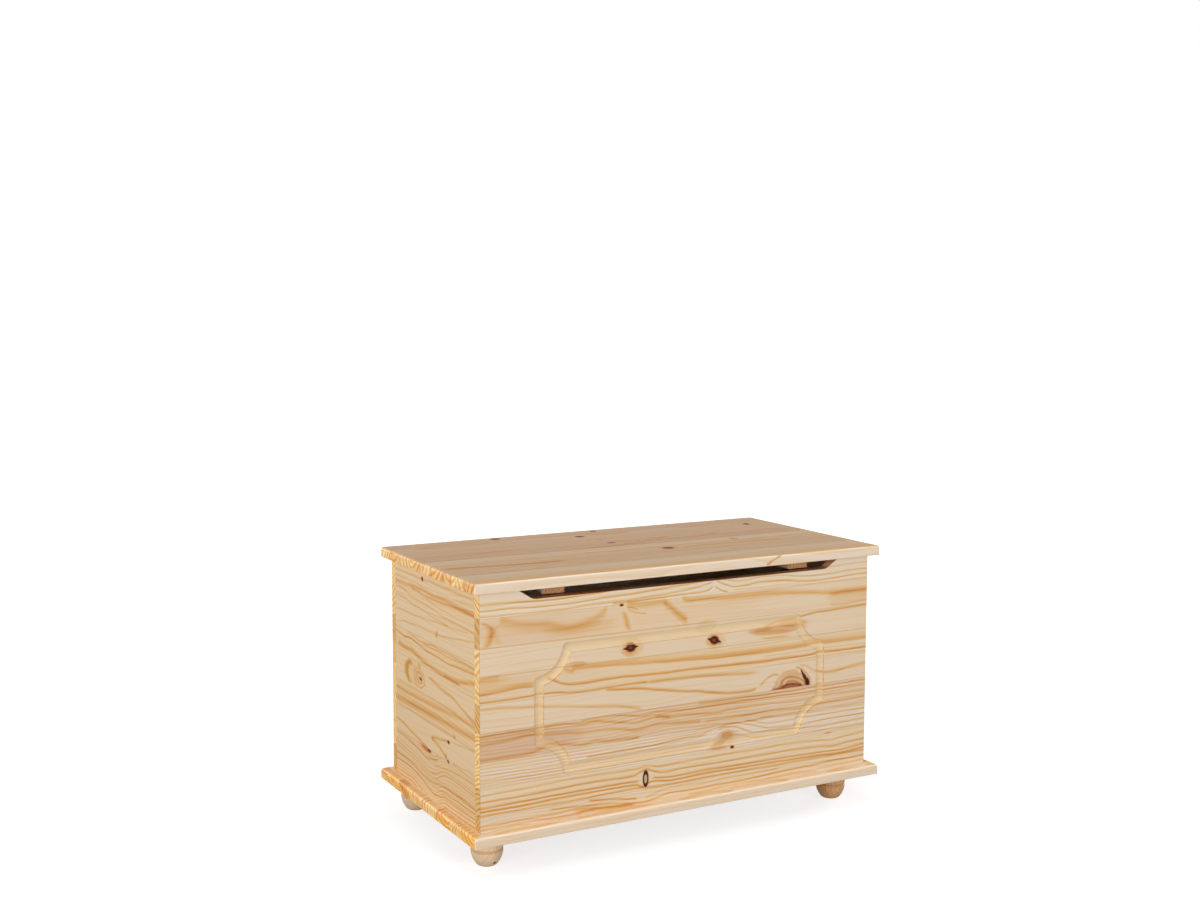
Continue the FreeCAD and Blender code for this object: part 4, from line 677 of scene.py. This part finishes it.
side_lines = [
    (3.0, 2.0, 0.5, 4, 182, 447, 100, 448, 45, 448, 0, 450, -80, 449, -182, 450),
    (4.0, 3.4, 0.7, 4, 182, 427, 120, 427, 100, 429, 50, 430, 0, 428.5, -60, 429, -120, 427, -182, 427),
    (2.6, 2.4, 0.7, 5, 100, 424.5, 60, 424, 35, 420.5, 0, 421, -50, 422, -80, 423, -120, 423.5, -182, 423),
    (1.8, 1.2, 0.6, 5, 164, 418.5, 130, 417, 100, 411, 70, 408, 40, 406.5, 0, 404.5, -50, 398.5, -100, 398,
     -150, 396.5, -182, 396),
    (1.6, 1.2, 0.45, 5, 30, 418, -30, 411, -80, 408.5, -182, 408),
    (1.8, 1.2, 0.5, 5, 182, 402, 130, 402, 100, 397, 60, 396, 30, 393, 0, 390.5, -40, 389, -70, 387,
     -110, 389, -150, 392),
    (1.8, 1.2, 0.5, 6, 182, 375, 140, 378, 100, 378, 60, 380, 20, 382, -20, 385, -70, 387),
    (2.0, 1.3, 0.55, 6, 168, 352, 140, 358, 100, 361, 50, 363, 0, 363.5, -20, 364, -50, 366, -80, 370,
     -110, 374, -150, 379, -182, 383),
    (1.8, 1.0, 0.72, 5, 118, 343, 80, 340, 60, 337, 30, 338, 0, 341, -30, 340, -70, 341, -100, 340,
     -182, 339),
    (1.6, 1.0, 0.72, 5, 45, 335, 0, 336, -60, 335, -120, 336, -182, 336),
    (2.4, 1.6, 0.8, 5, 182, 336, 150, 334.5, 130, 332, 100, 334.5, 70, 331, 40, 328, 10, 326, -30, 325,
     -60, 324, -100, 326, -150, 328, -182, 329),
    (5.0, 3.0, 0.72, 8, 164, 316, 140, 314, 120, 313, 100, 314, 80, 311, 60, 307, 40, 304, 10, 302,
     -20, 300, -60, 299.5, -90, 300.5, -120, 304, -150, 310, -182, 313),
    (2.6, 2.4, 0.6, 12, -40, 299, -70, 300, -95, 299.5, -118, 297.5),
    (3.2, 2.4, 0.72, 8, 22, 283, 10, 281, -10, 278, -30, 275, -60, 272, -80, 271, -100, 266, -130, 259,
     -160, 252, -182, 250),
    (1.4, 1.0, 0.45, 8, -80, 293, -120, 291, -182, 290),
    (4.0, 3.6, 0.62, 5, 182, 233, 100, 234, 40, 236, 0, 237.5, -60, 240, -120, 243, -182, 243),
    (2.0, 1.6, 0.45, 5, 182, 244, 100, 244.5, 0, 247, -100, 247.5),
    (6.5, 5.0, 0.66, 5, 182, 213, 120, 215, 60, 217, 0, 219, -60, 221, -120, 222, -182, 223),
    (3.0, 3.0, 0.3, 8, 182, 198, 100, 204, 0, 205, -100, 206),
    (2.6, 2.0, 0.8, 6, 182, 175, 150, 174, 120, 169, 90, 165, 60, 161, 40, 158, 22, 156),
    (3.4, 2.2, 0.72, 7, 12, 180, -10, 184, -30, 186, -50, 189, -62, 191),
    (2.4, 3.6, 0.75, 6, 12, 179, -10, 176, -30, 171, -45, 166, -58, 161),
    (2.0, 1.4, 0.5, 8, -70, 194, -100, 195.5, -130, 199, -182, 203),
    (2.0, 1.4, 0.5, 8, -76, 158, -110, 160, -150, 162, -182, 160),
    (2.2, 1.4, 0.6, 8, 182, 150, 130, 150, 100, 147, 60, 142, 30, 138, 10, 141, -20, 146),
    (1.8, 1.2, 0.55, 8, 0, 132, -30, 138, -60, 142, -120, 146, -182, 147),
    (2.4, 1.4, 0.7, 8, 182, 111, 100, 109, 60, 104, 30, 101, 0, 100, -30, 106, -60, 108, -182, 107),
    (2.0, 1.2, 0.62, 8, 182, 101, 120, 101, 90, 98, 50, 93, 20, 86, 0, 82, -20, 84, -50, 90, -182, 90),
    (1.6, 1.1, 0.55, 8, -10, 92, -30, 96, -60, 99, -182, 98),
]

side_posts = [
    (4.5, 11, 0.6, 8, 256, 118, 265, 125, 275, 129, 285, 126, 295, 117),
    (2.2, 2.6, 0.5, 6, 256, 74, 264, 82, 274, 84, 284, 78, 290, 68),
    (1.6, 2.0, 0.4, 6, 262, 66, 270, 70, 278, 66),
]

side_knots = [
    (45, 449, 4.2, 3.4, 0),
    (-65, 190.7, 4.4, 2.8, 0),
    (-63, 157, 4.0, 2.2, 20),
]

side_eyes = [
    (-17, 364, 5.5, 8.5, 30),
    (-54, 163, 6, 6, 0),
    (62, 293, 9, 4, 20),
    (-90, 206, 8, 3, 20),
]


def side_extra(graph, along, across, depth, wood, ripple, broad):
    # A golden crescent beside a small knot in its rings.
    patch = rim(graph, along, across, (84, 273, 48, 24, 0)) + (broad - 0.5) * 0.5
    wood = graph.mix(graph.smooth(patch, 1.1, 0.75) * 0.42, wood, colour(222, 180, 112))
    outer = rim(graph, along, across, (106, 275, 22, 22, 0)) + (broad - 0.5) * 0.4 + ripple * 0.2
    inner = rim(graph, along, across, (94, 273, 22, 19, 0)) + ripple * 0.4
    crescent = graph.smooth(outer, 1.08, 0.8) * graph.smooth(inner, 0.6, 1.15)
    wood = graph.mix(crescent, wood, colour(202, 142, 56))
    near = rim(graph, along, across, (62, 271, 27, 19, 8)) + (broad - 0.5) * 0.9 + ripple * 0.5
    rings = graph.math("SINE", near * 15) * 0.5 + 0.5
    wood = graph.mix(graph.smooth(near, 1.2, 0.8) * rings * 0.8, wood, colour(206, 148, 72))
    core = rim(graph, along, across, (56, 271, 6.0, 2.4, 8)) + ripple * 0.4
    wood = graph.mix(graph.smooth(core, 1.5, 0.8), wood, colour(146, 74, 34))
    streak = rim(graph, along, across, (34, 153, 25, 4.2, 4)) + (broad - 0.5) * 0.8 + ripple * 0.5
    wood = graph.mix(graph.smooth(streak, 1.25, 0.6) * 0.95, wood, colour(200, 112, 54))
    heart = rim(graph, along, across, (18, 153.5, 9, 3.0, 4)) + ripple * 0.6
    return graph.mix(graph.smooth(heart, 1.1, 0.7) * 0.9, wood, colour(84, 40, 26))


# The lid, seen at a flat angle: tones in strips and a handful of knots.

lid_boards = [
    (-207, -150, 16, 8.0, 0.60, 0.85, 0.10),
    (-178, -260, 40, 9.0, 0.34, 0.20, 0.20),
    (-133, -110, 20, 8.0, 0.80, 0.55, 0.45),
    (-78, -20, 26, 8.6, 0.70, 0.62, 0.30),
    (-25, 60, 34, 9.0, 0.40, 0.10, 0.15),
    (7, 60, 18, 8.0, 0.80, 0.50, 0.60),
    (62, 20, 30, 9.0, 0.60, 0.36, 0.46),
    (110, 150, 16, 9.0, 0.62, 0.34, 0.40),
    (160, 260, 30, 8.0, 0.66, 0.50, 0.50),
]

lid_lines = [
    (5.0, 8.0, 1.0, 30, -405, -62, -330, -68, -260, -76, -170, -80),
    (3.5, 3.5, 0.8, 14, -80, 20, -40, 18, 10, 24, 50, 22),
    (4.0, 3.0, 0.6, 20, 60, -58, 160, -52, 300, -56),
    (2.4, 2.0, 0.45, 20, -405, -128, -300, -129, -180, -128),
    (3.0, 3.0, 0.5, 20, 20, 40, 120, 36, 240, 44, 330, 40),
    (2.6, 2.6, 0.35, 20, -120, 12, 0, 14, 90, 10),
]

lid_knots = [
    (47, -50, 9.5, 8.5, 0),
    (-32, 141, 8, 7, 0),
    (-185, 189, 9, 7, 0),
    (22, 187, 6, 5, 0),
    (340, 129, 6, 8, -20),
    (-15, 49, 7, 4.5, 0),
]

lid_eyes = [
    (-17, 89, 7, 5, 0),
    (8, 30, 9, 4, -30),
    (47, -50, 20, 16, 0),
    (212, -14, 10, 14, 0),
]


def lid_extra(graph, along, across, depth, wood, ripple, broad):
    # A short curved mark on the front edge.
    off = graph.math("ABSOLUTE", along - 156 - graph.math("POWER", graph.smooth(depth, 18, 0), 1.6) * 26)
    mark = graph.smooth(off, 6.5, 1.2) * graph.smooth(across, -203.5, -206) * graph.smooth(depth, 17.5, 15)
    return graph.mix(mark * 0.85, wood, colour(226, 160, 84))


# The feet: a darker line scribed round the widest place, partly darker lacquer and partly painted shade in
# its groove; painted shade on the feet on the right; and painted shade under the base.

SCRIBE_HEIGHT = 27.3


def foot_extra(graph, along, across, depth, wood, ripple, broad):
    line = graph.smooth(graph.math("ABSOLUTE", along - SCRIBE_HEIGHT), 3.4, 1.2)
    # The scribed line: darker lacquer in the groove, with painted shade there too.
    wood = graph.mix(line * 0.5, wood, colour(186, 142, 90))
    # Painted shade: the feet on the right side are darker.
    wood = graph.mix(graph.smooth(across, -20, 20) * 0.75, wood, (0.78, 0.60, 0.44, 1.0), "MULTIPLY")
    # Painted shade near the top of each foot, under the base.
    return graph.mix(graph.smooth(along, 40, 55) * 0.5, wood, colour(176, 122, 76))


# Marks on end grain: each is (place along the end, half width, slant, strength, tint).

TAN = (0.86, 0.70, 0.58, 1.0)
ORANGE = (0.86, 0.58, 0.30, 1.0)
UMBER = (0.58, 0.26, 0.10, 1.0)
DEEP = (0.82, 0.50, 0.20, 1.0)

lid_end_marks = [
    (30, 15, 0.0, 0.7, TAN), (18, 2.0, 0.0, 0.7, ORANGE), (-31, 3.0, 0.4, 0.8, ORANGE),
    (-97, 19, 0.0, 0.6, TAN), (-82, 3.0, 0.0, 0.6, UMBER), (-113, 4.0, 0.0, 0.8, ORANGE),
    (-184, 20, 0.1, 0.75, TAN), (-168, 3.0, 0.3, 0.7, ORANGE), (48, 1.4, 0.0, 0.7, ORANGE),
    (150, 3.0, 0.9, 0.4, ORANGE), (170, 2.0, 0.9, 0.4, ORANGE),
]

base_end_marks = [
    (92, 17, 1.2, 0.75, ORANGE), (105, 2.2, 2.0, 0.8, UMBER), (96, 1.4, 2.2, 0.7, UMBER),
    (88, 1.2, 2.4, 0.7, UMBER), (78, 1.2, 2.6, 0.5, UMBER), (181, 2.4, 2.4, 1.0, DEEP),
    (170, 1.4, 2.4, 1.0, DEEP), (196, 1.6, 2.6, 0.9, DEEP), (146, 1.4, 1.8, 0.9, DEEP),
    (130, 1.4, 1.6, 0.9, DEEP), (42, 2.0, 2.0, 0.9, DEEP), (28, 1.6, 2.0, 0.9, DEEP),
    (10, 1.8, 0.0, 1.0, DEEP), (-55, 1.8, 0.0, 1.0, DEEP), (-76, 2.0, 2.2, 1.0, DEEP),
    (-88, 1.6, 2.2, 1.0, DEEP), (-100, 1.6, 2.2, 0.9, DEEP), (-122, 1.4, 0.0, 1.0, DEEP),
    (-131, 1.4, 0.2, 0.9, DEEP), (-150, 1.8, 2.4, 1.0, DEEP), (-161, 1.6, 2.4, 1.0, DEEP),
    (-172, 1.6, 2.4, 1.0, DEEP), (-184, 1.8, 2.2, 1.0, DEEP), (-196, 1.6, 2.0, 1.0, DEEP),
]


# The woods. Each takes its face and its span across the boards from the piece that wears it.

ALONG_X_UP = (0, 2, 1)
ALONG_Y_UP = (1, 2, 0)
FLAT = (0, 1, 2)
WRAP_WIDTH = 17
WIDE_SPAN = (-400, 400)

panel_span = extent("front_panel", 2)
front_face = extent("front_panel", 1)[0]
back_face = extent("back_panel", 1)[1]
left_face, right_face = extent("front_panel", 0)
lid_top = extent("lid_board", 2)[1]
base_top = extent("base_board", 2)[1]
batten_under = extent("lid_batten_left", 2)[0]

side_flow = [(-173, 0), (-60, 0), (-30, -5), (0, -13), (20, -12), (60, -4), (110, 0), (173, 0)]
batten_boards = [(-400, -200, 20, 4.0, 0.5, 0.3, 0.4), (0, 120, 30, 4.4, 0.5, 0.3, 0.4)]
foot_boards = [(-400, -330, 60, 4.6, 0.34, 0.25, 0.2), (0, 330, 16, 3.6, 1.0, 0.35, 0.4)]
back_knots = [(-210, 300, 8, 6, 0), (140, 210, 7, 5, 0), (250, 395, 4, 3, 0)]
right_knots = [(60, 330, 6, 4, 0), (-90, 170, 5, 4, 10)]

WOODS = {
    "pine_front": pine(
        "pine_front", ALONG_X_UP, front_face, 1, panel_span, front_boards, front_lines, front_posts,
        front_knots, front_eyes, extra=front_extra, end_tint=colour(218, 178, 116)),
    "pine_side": pine(
        "pine_side", ALONG_Y_UP, left_face, 1, panel_span, side_boards, side_lines, side_posts,
        side_knots, side_eyes, tint=(1.0, 0.985, 0.93, 1.0), extra=side_extra, flow=(side_flow, 150, 175)),
    "pine_right": pine(
        "pine_right", ALONG_Y_UP, right_face, -1, panel_span, plain_boards(*panel_span, 11, tone=0.45),
        seed=3, knots=right_knots),
    "pine_back": pine(
        "pine_back", ALONG_X_UP, back_face, -1, panel_span, plain_boards(*panel_span, 21, tone=0.3),
        seed=7, knots=back_knots),
    "pine_lid": pine(
        "pine_lid", FLAT, lid_top, -1, extent("lid_board", 1), lid_boards, lid_lines, (), lid_knots,
        lid_eyes, seed=5, tint=(0.96, 0.915, 0.87, 1.0), end_tint=colour(240, 196, 126), gloss=0.5,
        sheen=0.14, mottle=0.6, painted_edge_light=1.0, end_marks=lid_end_marks, extra=lid_extra),
    "pine_base": pine(
        "pine_base", FLAT, base_top, -1, extent("base_board", 1),
        plain_boards(*extent("base_board", 1), 33, 50, 0.55), seed=9, tint=(1.04, 1.02, 0.98, 1.0),
        end_tint=colour(252, 206, 122), painted_edge_light=0.9, painted_top_light=0.8, end_marks=base_end_marks,
        wrap=extent("base_board", 0)[1] - WRAP_WIDTH),
    "pine_batten": pine(
        "pine_batten", (1, 0, 2), batten_under, 1, WIDE_SPAN, batten_boards, seed=2,
        end_tint=colour(196, 150, 112)),
    "pine_turned": pine(
        "pine_turned", (2, 0, 1), 0, 1, WIDE_SPAN, foot_boards, seed=4, knots=[(7, -350, 2.0, 1.8, 0)],
        extra=foot_extra, end_tint=colour(226, 192, 148), tint=(1.08, 1.08, 1.12, 1.0)),
}


# Metals, plastic and beech.

def metal(name, tint, second, rough, stretch):
    graph = Graph(name)
    place = graph.place()
    cloud = graph.noise(graph.vector("MULTIPLY", place, (0.12, 0.12, 0.12)), 3.0, 0.6)
    brush = graph.noise(graph.vector("MULTIPLY", place, stretch), 2.0, 0.6)
    shade = graph.mix(graph.smooth(cloud, 0.35, 0.7), tint, second)
    worn = graph.smooth(brush + cloud * 0.4, 0.3, 1.1, rough - 0.08, rough + 0.14)
    graph.shader.inputs["Metallic"].default_value = 1.0
    return graph.finish(shade, worn, brush, 0.00003)


def plastic(name, tint, second):
    graph = Graph(name)
    place = graph.place()
    cloud = graph.noise(graph.vector("MULTIPLY", place, (0.2, 0.2, 0.2)))
    grit = graph.noise(graph.vector("MULTIPLY", place, (3.0, 3.0, 3.0)), 2.0, 0.7)
    shade = graph.mix(cloud, tint, second)
    return graph.finish(shade, graph.smooth(grit, 0.3, 0.8, 0.42, 0.58), grit, 0.00005)


def beech(name):
    graph = Graph(name)
    place = graph.place()
    fibre = graph.noise(graph.vector("MULTIPLY", place, (0.06, 1.4, 1.4)), 3.0, 0.6)
    fleck = graph.noise(graph.vector("MULTIPLY", place, (0.5, 2.6, 2.6)), 1.0)
    shade = graph.mix(fibre, colour(224, 190, 150), colour(196, 152, 110))
    shade = graph.mix(graph.smooth(fleck, 0.62, 0.72) * 0.5, shade, colour(150, 100, 66))
    return graph.finish(shade, graph.smooth(fibre, 0.3, 0.7, 0.5, 0.62), fibre)


FINISHES = {
    "zinc_steel": metal("zinc_steel", colour(196, 200, 204), colour(172, 176, 184), 0.3, (0.4, 2.4, 2.4)),
    "zinc_cast": metal("zinc_cast", colour(176, 178, 180), colour(150, 152, 156), 0.42, (1.2, 1.2, 1.2)),
    "brass": metal("brass", colour(206, 172, 98), colour(182, 144, 74), 0.3, (2.0, 2.0, 0.5)),
    "black_plastic": plastic("black_plastic", colour(38, 38, 40), colour(52, 52, 54)),
    "beech": beech("beech"),
}


# Every piece wears the material of its slot's name, apart from the right side, which has its own pine.

materials = {**WOODS, **FINISHES}
own_wood = {"right_side_panel": "pine_right"}

for name, piece in nodes.items():
    slots = piece.data.materials
    slot = slots[0].name.split(".")[0]
    for index in range(len(slots)):
        slots[index] = materials[own_wood.get(name, slot)]


# Floor: white to the camera, and it keeps the object's soft shadow.

FLOOR_HALF = 40.0


def flat_plane(name, half):
    corners = [(-half, -half, 0.0), (half, -half, 0.0), (half, half, 0.0), (-half, half, 0.0)]
    mesh = bpy.data.meshes.new(name)
    mesh.from_pydata(corners, [], [(0, 1, 2, 3)])
    made = bpy.data.objects.new(name, mesh)
    bpy.context.scene.collection.objects.link(made)
    return made


def floor_white():
    graph = Graph("floor")
    graph.tree.nodes.remove(graph.shader)
    matt = graph.node("BsdfDiffuse", {"Color": (0.45, 0.45, 0.45, 1.0)})
    away = graph.vector("LENGTH", graph.node("TexCoord", {}, "Object"))
    strength = graph.node("LightPath", {}, "Is Camera Ray") * graph.smooth(away, 0.45, 1.3, 0.74, 1.0)
    glow = graph.node("Emission", {"Color": (1.0, 1.0, 1.0, 1.0), "Strength": strength})
    both = graph.node("AddShader", {0: matt, 1: glow})
    graph.tree.links.new(both.socket, graph.tree.nodes["Material Output"].inputs["Surface"])
    return graph.material


floor = flat_plane("floor", FLOOR_HALF)
floor.data.materials.append(floor_white())


# World: white behind the object and in reflections, and a weaker white light elsewhere.

WORLD_LIGHT = 0.28

world = bpy.data.worlds.new("studio")
bpy.context.scene.world = world
world.use_nodes = True
tree = world.node_tree
background = tree.nodes["Background"]
path = tree.nodes.new("ShaderNodeLightPath")
seen = path.outputs["Is Camera Ray"]
for ray in ("Is Glossy Ray", "Is Transmission Ray"):
    either = tree.nodes.new("ShaderNodeMath")
    either.operation = "MAXIMUM"
    tree.links.new(seen, either.inputs[0])
    tree.links.new(path.outputs[ray], either.inputs[1])
    seen = either.outputs[0]
level = tree.nodes.new("ShaderNodeMapRange")
level.inputs["To Min"].default_value = WORLD_LIGHT
level.inputs["To Max"].default_value = 1.0
tree.links.new(seen, level.inputs["Value"])
tree.links.new(level.outputs["Result"], background.inputs["Strength"])
background.inputs["Color"].default_value = (1.0, 1.0, 1.0, 1.0)


# Lamps: each is (name, place, aimed at, size, power), in metres and watts.

LAMPS = [
    ("key", (-3.5, -1.9, 0.9), (0, 0, 0.25), (2.6, 1.4), 77),
    ("fill", (1.3, -3.7, 0.8), (0, 0, 0.22), (2.6, 1.4), 59),
    ("overhead", (-0.4, -0.9, 3.2), (0, 0, 0.3), (2.4, 2.4), 22),
    ("rear_left", (-1.6, 3.4, 0.9), (0, 0, 0.25), (2.0, 1.2), 52),
    ("rear_right", (3.4, 0.8, 0.8), (0, 0, 0.25), (1.8, 1.2), 42),
]

for name, place, target, (width, height), power in LAMPS:
    data = bpy.data.lights.new(name, "AREA")
    data.shape = "RECTANGLE"
    data.size = width
    data.size_y = height
    data.energy = power
    lamp = bpy.data.objects.new(name, data)
    lamp.location = place
    lamp.rotation_euler = (Vector(target) - Vector(place)).to_track_quat("-Z", "Y").to_euler()
    bpy.context.scene.collection.objects.link(lamp)


# Camera, at the place from which the photograph was taken: it looks along yaw and down, in radians.

CAMERA_PLACE = (-1.33566, -2.29304, 0.91476)
YAW = 0.5056
DOWN = 0.0965
ROLL = 0.0026
SENSOR_WIDTH = 36.0
LENS_LENGTH = 44.287

forward = Vector((math.sin(YAW) * math.cos(DOWN), math.cos(YAW) * math.cos(DOWN), -math.sin(DOWN)))
level_right = Vector((math.cos(YAW), -math.sin(YAW), 0.0))
level_up = level_right.cross(forward)
right = math.cos(ROLL) * level_right + math.sin(ROLL) * level_up
upward = math.cos(ROLL) * level_up - math.sin(ROLL) * level_right
camera_data = bpy.data.cameras.new("camera")
camera_data.sensor_width = SENSOR_WIDTH
camera_data.lens = LENS_LENGTH
camera_data.clip_end = 200.0
camera = bpy.data.objects.new("camera", camera_data)
bpy.context.scene.collection.objects.link(camera)
turn = Matrix((right, upward, -forward)).transposed().to_4x4()
camera.matrix_world = Matrix.Translation(CAMERA_PLACE) @ turn
bpy.context.scene.camera = camera

bpy.context.scene.view_settings.view_transform = "Standard"
